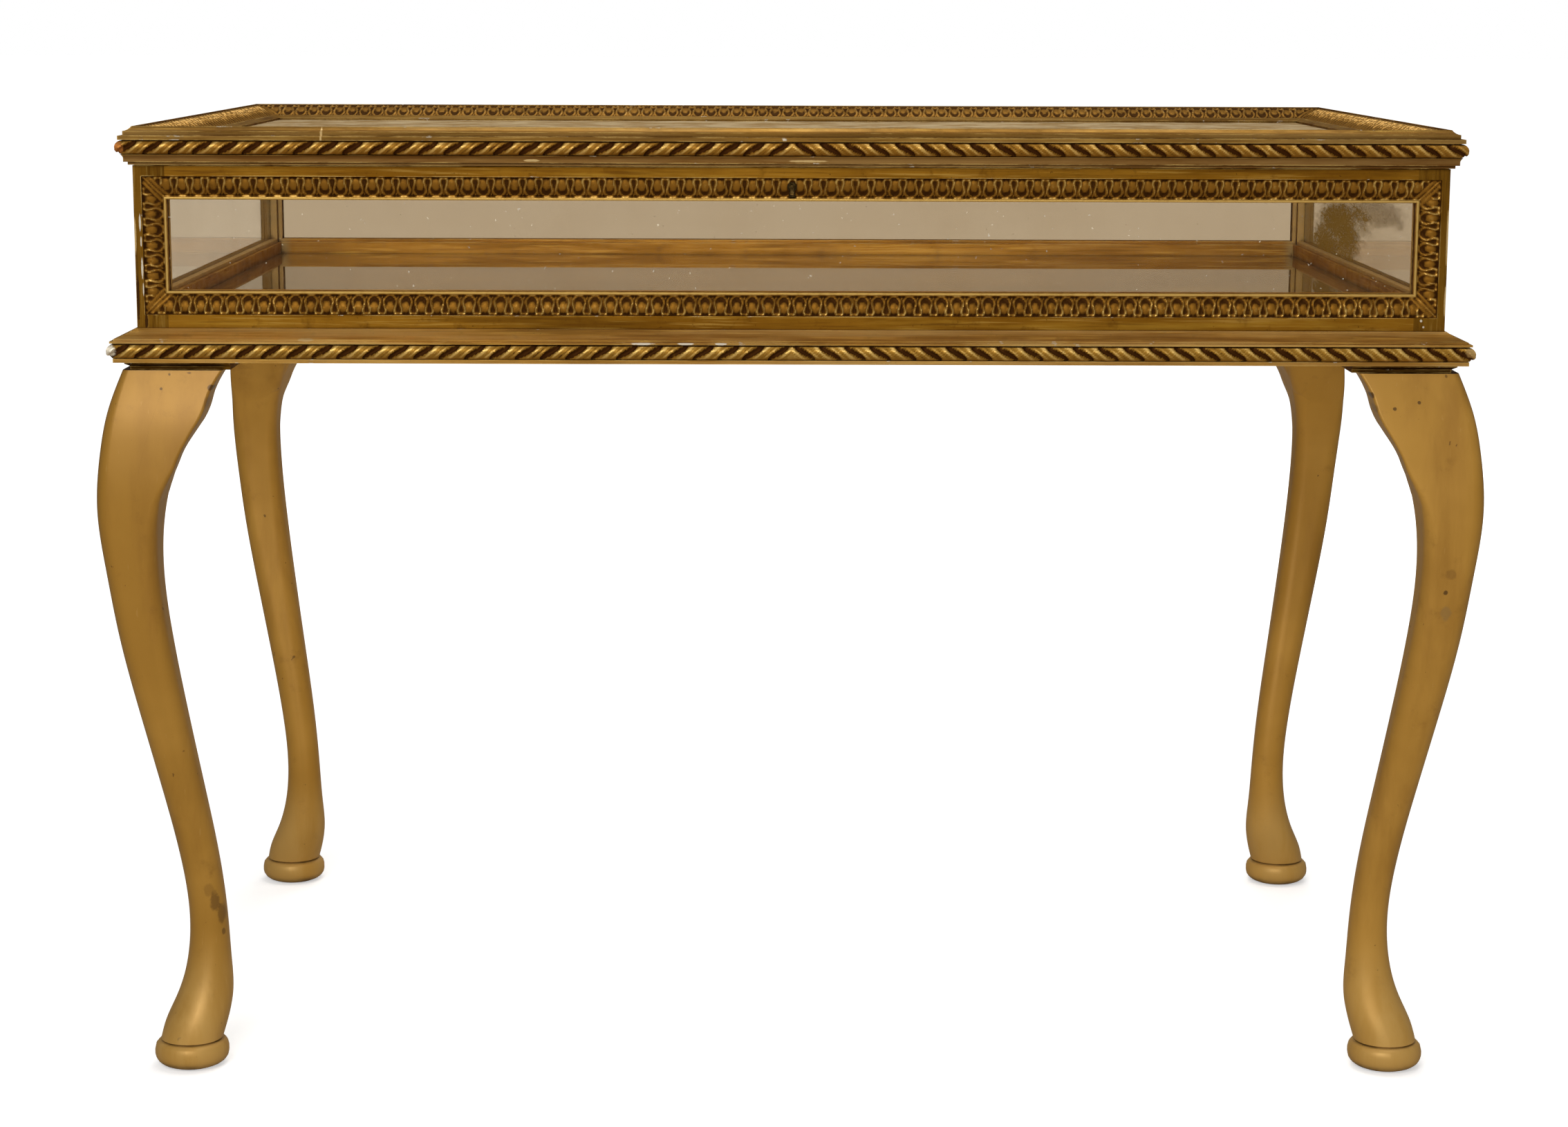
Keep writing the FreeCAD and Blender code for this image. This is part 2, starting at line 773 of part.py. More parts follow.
def make_floor(level):
    """The glass floor, lying on ledges fixed inside the bottom rails."""
    half_x, half_y = size("case_width") / 2, size("case_depth") / 2
    inset = size("post_size")
    play = inset + size("pane_clearance")
    pane = box("floor_pane", (play - half_x, play - half_y, level["floor_low"]),
               (half_x - play, half_y - play, level["floor_top"]))
    keep("floor_pane", pane)
    low, high, width = -size("ledge_height"), 0, size("ledge_width")
    section = [(0, low), (width, low), (width, high), (0, high)]
    keep_group("floor_ledges", ring("floor_ledge", half_x - inset, half_y - inset, section,
                                    0, width, level["floor_low"]))


def make_base_mouldings(level):
    """The moulding planted round the foot of the case, and the rope nosing let into it."""
    half_x, half_y = size("case_width") / 2, size("case_depth") / 2
    rope_low = size("base_foot_height")
    rope_high = rope_low + size("base_rope_height")
    fillet = rope_high + size("base_fillet_height")
    step = fillet + size("base_step_height")
    top = step + size("base_slope_height")
    seat, flat = size("base_rope_seat"), size("base_rope_flat")
    section = [
        (0, 0), (0, top), (-size("base_slope_top"), top, -size("base_slope_hollow")),
        (-size("base_step_reach"), step), (-size("base_step_reach"), fillet),
        (-size("base_fillet_reach"), fillet), (-size("base_fillet_reach"), rope_high),
        (-seat, rope_high), (-seat, rope_low), (-size("base_foot_reach"), rope_low),
        (-size("base_foot_reach"), 0),
    ]
    outer = -size("base_fillet_reach")
    for body in ring("base_moulding", half_x, half_y, section, outer, 0, level["base"]):
        keep(body.Label, body)
    section = [(-seat, rope_low), (-seat, rope_high),
               (-flat, rope_high, size("base_rope_reach") - flat), (-flat, rope_low)]
    keep_group("base_rope", ring("base_rope", half_x, half_y, section,
                                 -size("base_rope_reach"), -seat, level["base"]))


# ---------------------------------------------------------------- lid


def lid_profile():
    """Heights above the lid's underside, and depths in, that its frame, beads and pane share."""
    at = {"foot": size("lid_foot_height")}
    at["neck"] = at["foot"] + size("lid_neck_height")
    at["hollow"] = at["neck"] + size("lid_hollow_height")
    at["rope"] = at["hollow"] + size("lid_rope_height")
    at["step"] = at["rope"] + size("lid_step_height")
    at["band"] = at["step"] + size("lid_band_height")
    at["ridge"] = at["band"] + size("lid_ridge_height")
    at["seat_outer"] = at["ridge"] - size("lid_bead_depth")
    at["seat_inner"] = at["seat_outer"] - size("lid_bead_drop")
    at["fillet"] = at["seat_inner"] + size("lid_bead_fullness")
    at["sight"] = at["fillet"] - size("lid_fillet_drop")
    at["glass"] = at["sight"] - size("lid_lip_thickness")
    at["glass_low"] = at["glass"] - size("lid_pane_thickness")
    at["bead_in"] = size("lid_ridge_width") + size("lid_bead_width")
    at["sight_in"] = at["bead_in"] + size("lid_fillet_width")
    at["rebate_in"] = at["sight_in"] - size("lid_pane_cover")
    return at


def make_lid_frame(level, at):
    """The four mitred lid rails. The front and rear ones are returned for their fittings."""
    half_x, half_y = size("case_width") / 2, size("case_depth") / 2
    ridge, band, neck = size("lid_ridge_width"), size("lid_band_reach"), size("lid_neck_reach")
    step, seat = size("lid_step_reach"), size("lid_rope_seat")
    hollow, foot = size("lid_hollow_reach"), size("lid_foot_reach")
    section = [
        (at["rebate_in"], 0), (at["rebate_in"], at["glass"]), (at["sight_in"], at["glass"]),
        (at["sight_in"], at["sight"]), (at["bead_in"], at["fillet"]),
        (at["bead_in"], at["seat_inner"]), (ridge, at["seat_outer"]), (ridge, at["ridge"]),
        (0, at["ridge"], -size("lid_ridge_hollow")), (-band, at["band"]), (-band, at["step"]),
        (-step, at["step"]), (-step, at["rope"]), (-seat, at["rope"]), (-seat, at["hollow"]),
        (-hollow, at["hollow"], -size("lid_hollow_sag")), (-neck, at["neck"]),
        (-neck, at["foot"]), (-foot, at["foot"]), (-foot, 0),
    ]
    rails = ring("lid_rail", half_x, half_y, section, -step, at["sight_in"], level["lid"])
    for body in (rails[1], rails[3]):
        keep(body.Label, body)
    flat = size("lid_rope_flat")
    section = [(-seat, at["hollow"]), (-seat, at["rope"]),
               (-flat, at["rope"], size("lid_rope_reach") - flat), (-flat, at["hollow"])]
    keep_group("lid_rope", ring("lid_rope", half_x, half_y, section,
                                -size("lid_rope_reach"), -seat, level["lid"]))
    section = [(ridge, at["seat_outer"]), (at["bead_in"], at["seat_inner"]),
               (at["bead_in"], at["fillet"], size("lid_bead_bulge")),
               (ridge, at["ridge"] - size("lid_ridge_width"))]
    keep_group("lid_egg_and_dart", ring("lid_bead", half_x, half_y, section, ridge,
                                        at["bead_in"], level["lid"]))
    return rails[0], rails[2]


def make_lid_glass(level, at):
    half_x, half_y = size("case_width") / 2, size("case_depth") / 2
    play = at["rebate_in"] + size("pane_clearance")
    pane = box("lid_pane", (play - half_x, play - half_y, level["lid"] + at["glass_low"]),
               (half_x - play, half_y - play, level["lid"] + at["glass"]))
    keep("lid_pane", pane)
    low, cover = at["glass_low"] - size("lid_bead_height"), size("lid_pane_cover")
    section = [(0, low), (cover, low), (cover, at["glass_low"]), (0, at["glass_low"])]
    keep_group("lid_glazing_beads",
               ring("lid_glazing_bead", half_x - at["rebate_in"], half_y - at["rebate_in"],
                    section, 0, cover, level["lid"]))


# ---------------------------------------------------------------- hinges

KNUCKLES = 3
ALONG_X = Rotation(Vector(0, 1, 0), 90)
FORWARD = Rotation(Vector(1, 0, 0), 90)


def hinge_leaf(name, middle, own, low, high, bore, level):
    """One leaf of a butt hinge: a let-in plate, its own knuckles and the bore for the pin."""
    rear = size("case_depth") / 2
    half, radius = size("hinge_length") / 2, size("knuckle_radius")
    axis_y = rear + size("pin_out")
    gap = size("knuckle_gap")
    length = (size("hinge_length") - (KNUCKLES - 1) * gap) / KNUCKLES
    plate = box(f"{name}_plate", (middle - half, rear - size("leaf_width"), low),
                (middle + half, rear, high))
    pieces = [plate]
    for number in range(own, KNUCKLES, 2):
        start = middle - half + number * (length + gap)
        pieces.append(box(f"{name}_tab_{number}", (start, rear, low),
                          (start + length, axis_y, high)))
        pieces.append(cylinder(f"{name}_knuckle_{number}", (start, axis_y, level["hinge"]),
                               radius, length, ALONG_X))
    hole = cylinder(f"{name}_bore", (middle - half, axis_y, level["hinge"]), bore,
                    size("hinge_length"), ALONG_X)
    return plate, cut(name, fuse(f"{name}_solid", pieces), hole)


def make_hinges(level, rail_blank, lid_rail_blank):
    """Two butt hinges, let into the rear top rail and the rear lid rail."""
    rear, half = size("case_depth") / 2, size("hinge_length") / 2
    room, thickness = size("hinge_clearance"), size("leaf_thickness")
    leaves = {"case": [], "lid": []}
    waste = {"case": [], "lid": []}
    pins = []
    for hand, sign in (("left", -1), ("right", 1)):
        middle = sign * size("hinge_spacing") / 2
        for part, own, low, bore in (
                ("case", 0, level["case_top"] - thickness, size("pin_radius")),
                ("lid", 1, level["lid"], size("pin_radius") + size("pin_clearance"))):
            plate, leaf = hinge_leaf(f"hinge_leaf_{part}_{hand}", middle, own, low,
                                     low + thickness, bore, level)
            leaves[part].append(leaf)
            waste[part].append(plate)
        knuckle = size("pin_out") + size("knuckle_radius") + room
        waste["lid"].append(box(f"hinge_notch_{hand}",
                                (middle - half - room, rear, level["lid"] - room),
                                (middle + half + room, rear + knuckle,
                                 level["hinge"] + size("knuckle_radius") + room)))
        pins.append(cylinder(f"hinge_pin_{hand}",
                             (middle - half, rear + size("pin_out"), level["hinge"]),
                             size("pin_radius"), size("hinge_length"), ALONG_X))
    for part in ("case", "lid"):
        keep_group(f"hinge_leaves_{part}", leaves[part])
    keep_group("hinge_pins", pins)
    for label, blank, part in (("top_rail_rear", rail_blank, "case"),
                               ("lid_rail_rear", lid_rail_blank, "lid")):
        blank.Label = f"{label}_blank"
        keep(label, cut(f"{label}_fitted", blank, fuse(f"{label}_waste", waste[part])))


# ---------------------------------------------------------------- lock


def keyhole_outline(level, wall):
    """A round hole with a slot below it, drawn this much larger all round."""
    radius, half_slot = size("keyhole_radius") + wall, size("keyhole_slot_width") / 2 + wall
    centre, foot = level["key"], level["key_foot"] - wall
    throat = (radius * radius - half_slot * half_slot).root()
    return [(-half_slot, foot), (half_slot, foot), (half_slot, centre - throat, radius + throat),
            (-half_slot, centre - throat)]


def keyhole(name, level, wall, near, far, hollow=False):
    """A prism of the keyhole's outline from one depth to another, as a tube if hollow."""
    body = new_body(name)
    loops = [keyhole_outline(level, wall)]
    if hollow:
        loops.append(keyhole_outline(level, 0))
    sketch = new_sketch(body, "outline", "XZ_Plane", loops)
    add_pad(body, sketch, far - near, backwards=True)
    place(body, 0, near - size("case_depth") / 2, 0)
    return body


def staple_at(sign):
    return sign * size("staple_spacing") / 2


def make_bolt(level, finger_top, finger_low, staple_foot):
    """The sliding bolt: a notched bar with two fingers that run through the staples."""
    body = new_body("lock_bolt")
    across = size("case_depth") / 2
    room, half = size("lock_clearance"), size("staple_thickness") / 2
    bar_top = staple_foot - size("bolt_room")
    bar_low = bar_top - size("bolt_bar_height")
    tips = [staple_at(sign) - half - room for sign in (-1, 1)]
    stems = [tip - size("bolt_travel") for tip in tips]
    riser = size("bolt_riser_width")
    start, end = stems[0] - riser, stems[1]
    notch = size("talon_width") / 2
    outline = [
        (start, bar_low), (-notch, bar_low, -size("talon_depth")), (notch, bar_low),
        (end, bar_low), (end, finger_low), (tips[1], finger_low), (tips[1], finger_top),
        (end - riser, finger_top), (end - riser, bar_top), (stems[0], bar_top),
        (stems[0], finger_low), (tips[0], finger_low), (tips[0], finger_top),
        (start, finger_top),
    ]
    back = size("lock_in") + size("lock_wall") + size("bolt_play")
    front = back + size("bolt_bar_thickness")
    plate = new_sketch(body, "plate", "XZ_Plane", [outline], (0, 0, across - front))
    add_pad(body, plate, size("bolt_thickness"), backwards=True)
    bar = [(start, bar_low), (-notch, bar_low, -size("talon_depth")), (notch, bar_low),
           (end, bar_low), (end, bar_top), (start, bar_top)]
    guide = new_sketch(body, "bar", "XZ_Plane", [bar], (0, 0, across - front))
    add_pad(body, guide, size("bolt_bar_thickness"))
    keep("lock_bolt", body)


def make_lock(level, rail_blank, lid_rail_blank, front_bead):
    """A till lock in the front top rail, its keyhole, and the link plate that it holds."""
    across = size("case_depth") / 2
    wall, room = size("lock_wall"), size("lock_clearance")
    half, ear = size("lock_width") / 2, size("lock_ear")
    near, back = size("lock_in") - across, size("post_size") - across
    plate_y = back - wall
    low, top = level["lock"], level["case_top"]
    finger_top = top - size("bolt_finger_drop")
    finger_low = finger_top - size("bolt_finger_height")
    play = size("staple_clearance")
    staple_foot = finger_low - play - size("staple_bar")
    bolt_in = near + wall + size("bolt_play") + size("bolt_bar_thickness")
    staple_y = bolt_in + size("bolt_thickness") / 2 - size("staple_width") / 2

    shell = box("lock_shell", (-half, near, low), (half, plate_y, top))
    cavity = box("lock_cavity", (wall - half, near + wall, low + wall),
                 (half - wall, plate_y, top - wall))
    slots, staples = [], []
    for hand, sign in (("left", -1), ("right", 1)):
        left = staple_at(sign) - size("staple_thickness") / 2
        right = left + size("staple_thickness")
        far = staple_y + size("staple_width")
        slots.append(box(f"lock_slot_{hand}", (left - play, staple_y - play, top - 2 * wall),
                         (right + play, far + play, top)))
        leg = box(f"staple_block_{hand}", (left, staple_y, staple_foot), (right, far,
                                                                         level["lid"]))
        eye = box(f"staple_eye_{hand}", (left, bolt_in - play, finger_low - play),
                  (right, bolt_in + size("bolt_thickness") + play, finger_top + play))
        staples.append(cut(f"staple_{hand}", leg, eye))
    pierced = keyhole("lock_keyhole", level, 0, size("lock_in") - MITRE_MARGIN,
                      size("lock_in") + wall + MITRE_MARGIN)
    keep("lock_case", cut("lock_case_solid", shell,
                          fuse("lock_case_waste", [cavity, pierced, *slots])))

    ears = box("lock_ears", (-half - ear, plate_y, low + room), (half + ear, back, top - room))
    drill_pin = cylinder("lock_drill_pin", (0, back, level["key"]), size("drill_pin_radius"),
                         size("post_size") - size("lock_in"), FORWARD)
    keep("lock_backplate", fuse("lock_backplate_solid", [ears, drill_pin]))
    make_bolt(level, finger_top, finger_low, staple_foot)

    liner = keyhole("keyhole_liner", level, size("keyhole_wall"), size("keyhole_in"),
                    size("lock_in"), hollow=True)
    keep("keyhole_liner", liner)
    way = keyhole("keyhole_way", level, size("keyhole_wall"), -MITRE_MARGIN, size("lock_in"))
    front_bead[0] = cut("bead_front_keyed", front_bead[0], way)
    keep_group("egg_and_dart_front", front_bead)
    rail_waste = fuse("top_rail_front_waste", [shell, ears, way])
    keep("top_rail_front", cut("top_rail_front_fitted", rail_blank, rail_waste))

    link_near = size("link_plate_in") - across
    link = box("link_strip", (-half, link_near, level["lid"]),
               (half, link_near + size("link_plate_width"),
                level["lid"] + size("link_plate_thickness")))
    keep("link_plate", fuse("link_plate_solid", [link, *staples]))
    lid_rail_blank.Label = "lid_rail_front_blank"
    keep("lid_rail_front", cut("lid_rail_front_fitted", lid_rail_blank, link))


# ---------------------------------------------------------------- build, check and write


def check_document():
    for obj in doc.Objects:
        if "Invalid" in obj.State or "Error" in obj.State:
            raise RuntimeError(f"{obj.Label} failed: {obj.State}")
    for label, obj in nodes.items():
        if obj.Shape.isNull() or not obj.Shape.isValid() or not obj.Shape.Solids:
            raise RuntimeError(f"{label} has no valid solid")


def write_parts():
    os.makedirs("parts", exist_ok=True)
    for label, obj in nodes.items():
        obj.Shape.exportStep(f"parts/{label}.step")
        print(f"{label}: {len(obj.Shape.Solids)} solid(s), {obj.Shape.Volume / 1000:.2f} cm3")


def build():
    fill_sheet()
    level = levels()
    tenons = make_legs()
    make_posts(level, tenons)
    top_rails = make_rails(level)
    front_bead = make_windows(level)
    make_floor(level)
    make_base_mouldings(level)
    at = lid_profile()
    lid_front, lid_rear = make_lid_frame(level, at)
    make_lid_glass(level, at)
    make_hinges(level, top_rails["rear"], lid_rear)
    make_lock(level, top_rails["front"], lid_front, front_bead)
    doc.recompute()
    check_document()
    write_parts()


build()
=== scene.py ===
"""Looks of the collectors display table: carved and gilded mouldings, cabriole legs and glass.

Meshes and marks are given in millimetres, and shader distances, the floor, the lamps and the
camera in metres, with +X along the front, +Y to the rear and +Z up.
"""

import json
import math

import bmesh
import bpy
import numpy as np
from mathutils import Matrix, Vector


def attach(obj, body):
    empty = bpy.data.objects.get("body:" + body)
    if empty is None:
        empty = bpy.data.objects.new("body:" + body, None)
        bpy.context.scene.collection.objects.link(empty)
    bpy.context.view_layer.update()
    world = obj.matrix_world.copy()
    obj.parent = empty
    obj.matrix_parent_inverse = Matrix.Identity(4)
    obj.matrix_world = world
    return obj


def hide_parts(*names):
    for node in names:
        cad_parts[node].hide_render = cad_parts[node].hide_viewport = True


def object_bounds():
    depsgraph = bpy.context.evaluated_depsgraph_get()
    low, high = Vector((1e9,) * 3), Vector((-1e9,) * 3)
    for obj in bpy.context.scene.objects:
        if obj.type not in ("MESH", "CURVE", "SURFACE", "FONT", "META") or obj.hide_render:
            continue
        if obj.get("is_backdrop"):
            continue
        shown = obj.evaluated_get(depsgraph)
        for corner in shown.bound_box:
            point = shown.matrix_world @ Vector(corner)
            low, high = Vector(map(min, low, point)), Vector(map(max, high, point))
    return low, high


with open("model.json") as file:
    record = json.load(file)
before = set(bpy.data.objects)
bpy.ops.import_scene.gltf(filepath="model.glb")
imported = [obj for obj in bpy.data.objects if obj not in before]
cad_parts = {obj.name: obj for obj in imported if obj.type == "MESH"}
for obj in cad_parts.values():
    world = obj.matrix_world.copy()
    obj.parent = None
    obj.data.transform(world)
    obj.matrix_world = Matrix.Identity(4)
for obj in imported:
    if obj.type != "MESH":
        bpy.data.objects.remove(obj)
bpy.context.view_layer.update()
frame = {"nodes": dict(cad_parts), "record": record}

MM = 0.001
HALF_X, HALF_Y = 520.0, 310.0
SIDES = ("front", "right", "rear", "left")
CORNERS = ("front_left", "front_right", "rear_right", "rear_left")
CORNER_SIGNS = ((-1, -1), (1, -1), (1, 1), (-1, 1))
WINDOW_MIDDLE, WINDOW_HALF_HEIGHT = 681.85, 54.65
# how far in from the case's edges the carved frames begin, and how wide they are carved
WINDOW_INSET, LID_INSET = 6.5, 1
WINDOW_CARVED, LID_CARVED = 16.2, 19.0
# the keyhole's round head and the straight slot below it, and where it is cut from and how deep
KEYHOLE_LEVEL, KEYHOLE_RADIUS = 729.5, 3.7
SLOT_FOOT, SLOT_HALF_WIDTH = 721.3, 2.2
CUT_FROM, CUT_DEPTH = -312, 16
# how far in from both faces of a corner the middle of its pad lies
PAD_MIDDLE = 22.5
# the case's top and the gap up to the lid, the hinges' middles, and the radii of screw heads
CASE_TOP, LID_GAP = 745.0, 0.5
HINGE_X, HINGE_Y = 350, 304
HINGE_SCREW, LOCK_SCREW = 1.9, 1.7


# ---------------------------------------------------------------- meshes


def ease(x, low, high):
    """A smooth step from 0 at low to 1 at high."""
    t = np.clip((x - low) / (high - low), 0, 1)
    return t * t * (3 - 2 * t)


def hill(x, width):
    """1 at 0, falling off smoothly on both sides."""
    return np.exp(-np.square(x / width))


def build(name, points, faces, body, nodes=(), material=None, worn=None,
          smooth_angle=42):
    """A mesh object from points in millimetres, riding on a body and standing for CAD nodes."""
    mesh = bpy.data.meshes.new(name)
    mesh.from_pydata((np.asarray(points) * MM).tolist(), [], faces)
    if worn is not None:
        mesh.attributes.new("worn", "FLOAT", "POINT").data.foreach_set("value", worn)
    bm = bmesh.new()
    bm.from_mesh(mesh)
    bmesh.ops.recalc_face_normals(bm, faces=bm.faces)
    bm.to_mesh(mesh)
    bm.free()
    mesh.shade_smooth()
    mesh.set_sharp_from_angle(angle=math.radians(smooth_angle))
    obj = bpy.data.objects.new(name, mesh)
    bpy.context.scene.collection.objects.link(obj)
    if material:
        mesh.materials.append(material)
    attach(obj, body)
    if nodes:
        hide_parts(*nodes)
    return obj


def welded(points, quads, worn):
    """Join equal points, and drop the faces and corners that fold up."""
    keys, first, index = np.unique(np.round(points, 3), axis=0, return_index=True,
                                   return_inverse=True)
    faces = []
    for quad in index.reshape(-1)[quads].tolist():
        face = [v for n, v in enumerate(quad) if v != quad[n - 1]]
        if len(set(face)) == len(face) > 2:
            faces.append(face)
    return keys, faces, worn[first]


def ring(half_a, half_b, rows, columns, carve, place):
    """A closed frame of four mitred strips round a rectangle.

    rows are (t, v, dt, dv, carved): t inward from the rectangle, v across it, and the direction
    that carving goes in. carved is 1 on a carved row and less on a plain one, where it says how
    worn the row is. carve(s, t, v, length, strip) gives the depth and how worn each point is, and
    place(a, b, v) the position in the table's frame.
    """
    t0, v0, dt, dv, carved = (np.array(column)[:, None] for column in zip(*rows))
    corners = ((-half_a, -half_b), (half_a, -half_b), (half_a, half_b), (-half_a, half_b))
    points, quads, worn, count = [], [], [], 0
    for strip, (a0, b0) in enumerate(corners):
        a1, b1 = corners[(strip + 1) % 4]
        length = abs(a1 - a0) + abs(b1 - b0)
        u, w = (a1 - a0) / length, (b1 - b0) / length
        s = columns(length)[None, :]
        along = np.clip(s, t0, length - t0)
        depth, wear = carve(along, t0 + 0 * along, v0 + 0 * along, length, strip)
        depth = np.where(carved == 1, depth, 0)
        t = t0 + depth * dt
        v = v0 + depth * dv
        along = np.clip(s, t, length - t)
        a, b = a0 + u * along - w * t, b0 + w * along + u * t
        points.append(np.stack(place(a, b, v), -1).reshape(-1, 3))
        worn.append(np.where(carved == 1, wear, carved).reshape(-1))
        r, c = along.shape
        grid = count + np.arange(r * c).reshape(r, c)
        ahead = np.roll(grid, -1, 0)
        quads.append(np.stack([grid[:, :-1], grid[:, 1:], ahead[:, 1:], ahead[:, :-1]],
                              -1).reshape(-1, 4))
        count += r * c
    return welded(np.concatenate(points), np.concatenate(quads), np.concatenate(worn))


def parabola(start, end, bulge, shares):
    """Points along a shallow arc from start to end, standing bulge to the left of its chord."""
    start, end = np.array(start), np.array(end)
    chord = end - start
    left = np.array((-chord[1], chord[0])) / np.hypot(*chord)
    return [tuple(start + chord * q + left * 4 * bulge * q * (1 - q)) for q in shares]


# ---------------------------------------------------------------- carving

EGG_PITCH, EGG_COLUMNS = 12.5, 12
ROPE_PITCH, ROPE_COLUMNS = 20.0, 18


def even_columns(pitch, per_unit):
    """Where a strip's mesh is divided along its length, with as many columns to each unit."""
    def columns(length):
        units = round(length / pitch)
        return np.linspace(0, length, units * per_unit + 1)
    return columns


def lobe_line(pitch, width):
    """The raised line of one unit: round a U-shaped lobe, in at its neck, out over the egg."""
    w = np.array((0.03, 0.045, 0.09, 0.19, 0.33, 0.48, 0.64, 0.76, 0.86, 0.93, 0.95))
    x = np.array((0.0, 0.10, 0.185, 0.245, 0.21, 0.15, 0.10, 0.13, 0.22, 0.38, 0.5))
    knots = np.linspace(0, 1, len(w))
    q = np.linspace(0, 1, 70)
    return np.interp(q, knots, x) * pitch, np.interp(q, knots, w) * width


def egg_and_dart(width, depth):
    """Depth below the bead's face and wear of an egg-and-dart strip of this carved width."""
    rng = np.random.default_rng(11)
    vary = rng.uniform(-1, 1, (4, 128, 3))

    def carve(s, t, v, length, strip):
        pitch = length / round(length / EGG_PITCH)
        unit = np.floor(s / pitch + 0.5).astype(int)
        trim = vary[strip, unit % 128]
        x = np.abs(s - unit * pitch + 0.35 * trim[..., 0])
        line_x, line_t = lobe_line(pitch, width)
        gap = np.full(s.shape, 99.0)
        for px, pt in zip(line_x, line_t):
            gap = np.minimum(gap, np.hypot(x - px, t - pt))
        lobe = hill(gap, 0.95 + 0.12 * trim[..., 1])
        lobe = lobe * (0.62 + 0.38 * (1 - ease(t / width, 0.35, 0.95)))
        egg = np.sqrt(np.clip(1 - ((x - 0.5 * pitch) / (0.27 * pitch)) ** 2
                              - ((t / width - 0.40) / 0.34) ** 2, 0, 1))
        hole = hill(np.hypot(x - 0.5 * pitch, t - 0.80 * width), 1.5)
        dart = hill(np.hypot(x, (t - 0.86 * width) * 0.6), 0.75)
        height = np.maximum.reduce([lobe, 0.50 * egg, 0.55 * dart]) - 0.45 * hole
        # a leaf covers each mitre
        across = (np.minimum(s, length - s) - t) / math.sqrt(2)
        leaf = np.maximum(0.55 * hill(across, 0.9), 0.5 * hill(across - 3.0, 1.2)) + 0.05
        corner = 1 - ease(across, 4.2, 6.0)
        height = height * (1 - corner) + leaf * corner
        edge = ease(t, 0, 0.7) * (1 - ease(t, width - 0.6, width))
        height = height * edge
        plain = t >= width - 1e-6
        cut = np.where(plain, 0, depth * (1 - np.clip(height, -0.45, 1)))
        cut = cut * ease(t, -0.01, 0.35)
        worn = np.where(plain, 0.8, np.clip(height, 0, 1))
        return cut, worn
    return carve


def twisted_ribbon(middle, half_height, turned_depth):
    """Depth of a twisted-ribbon moulding: slanting grooves that lean away from each corner."""
    rng = np.random.default_rng(5)
    vary = rng.uniform(-1, 1, (4, 64, 3))

    def carve(s, t, v, length, strip):
        from_end = np.minimum(s, length - s)
        units = round(length / 2 / ROPE_PITCH)
        pitch = length / 2 / units
        up = v - middle
        lean = 1.16 * up
        unit = np.clip(np.floor((from_end - lean) / pitch), 0, units - 1).astype(int)
        trim = vary[strip, unit % 64]
        x = from_end - lean - (unit + 0.5) * pitch + 0.5 * trim[..., 0]
        level = np.clip(1 - (up / half_height) ** 2, 0, 1)
        half_width = (4.1 + 0.4 * trim[..., 1]) * level ** 0.35 + 0.05
        groove = np.clip(1 - (x / half_width) ** 4, 0, 1) * level ** 0.4
        far = 0.5 * pitch - np.abs(x)
        flank = np.where(x > 0, 1.0, -1.0)
        fold = hill(far - 1.4, 0.9) * level
        belly = hill(far - 3.4, 1.5) * level
        cut = turned_depth * groove + 0.25 * (1 - belly) + 0.30 * fold
        worn = np.clip(0.52 + 0.42 * belly + 0.10 * flank - 1.5 * groove - 0.30 * fold, 0, 1)
        return cut, worn
    return carve


def window_place(quarter):
    """Positions for a window's frame: a along the side, b up, v into the case."""
    def place(a, b, v):
        z = b + WINDOW_MIDDLE
        if quarter == 0:
            return a, v - HALF_Y, z
        if quarter == 1:
            return HALF_X - v, a, z
        if quarter == 2:
            return -a, HALF_Y - v, z
        return v - HALF_X, -a, z
    return place


def flat_place(a, b, v):
    """Positions for a frame that lies flat: a along the front, b to the rear, v up."""
    return a, b, v


def window_rows():
    """The section of a window's frame: a carved swelling, a plain lip and the hidden back."""
    rows = [(t, v, 0, 1, 1) for t, v in parabola((0, 1.2), (WINDOW_CARVED, 5.2), -1.6,
                                                 np.linspace(0, 1, 14))]
    rows += [(16.25, 4.4, 0, 1, 0.3), (16.9, 4.15, 0, 1, 0.9), (18.0, 4.3, 0, 1, 0.99),
             (18.5, 4.9, 0, 1, 0.8), (18.5, 9.0, 0, 1, 0.4), (0, 3.0, 0, 1, 0.2)]
    return rows


def lid_bead_rows():
    """The section of the lid's egg-and-dart frame: a carved swelling down to the glass."""
    rows = [(t, v, 0, -1, 1) for t, v in parabola((0, 774.6), (LID_CARVED, 765.4), 1.4,
                                                  np.linspace(0, 1, 14))]
    return rows + [(LID_CARVED, 762.8, 0, -1, 0.4), (0, 772.3, 0, -1, 0.4)]


def rope_rows(low, high, reach, flat, seat):
    """Rows round the half-round face of a rope moulding, t in from its outermost line."""
    bulge, half = reach - flat, (high - low) / 2
    radius = (half * half + bulge * bulge) / (2 * bulge)
    limit = math.asin(half / radius) if bulge <= radius else math.pi - math.asin(half / radius)
    rows = []
    for angle in np.linspace(-limit, limit, 14):
        t, v = radius * (1 - math.cos(angle)), (low + high) / 2 + radius * math.sin(angle)
        rows.append((t, v, math.cos(angle), -math.sin(angle), 1))
    return rows + [(reach - seat, high, 0, 0, 0.4), (reach - seat, low, 0, 0, 0.4)]


# ---------------------------------------------------------------- legs

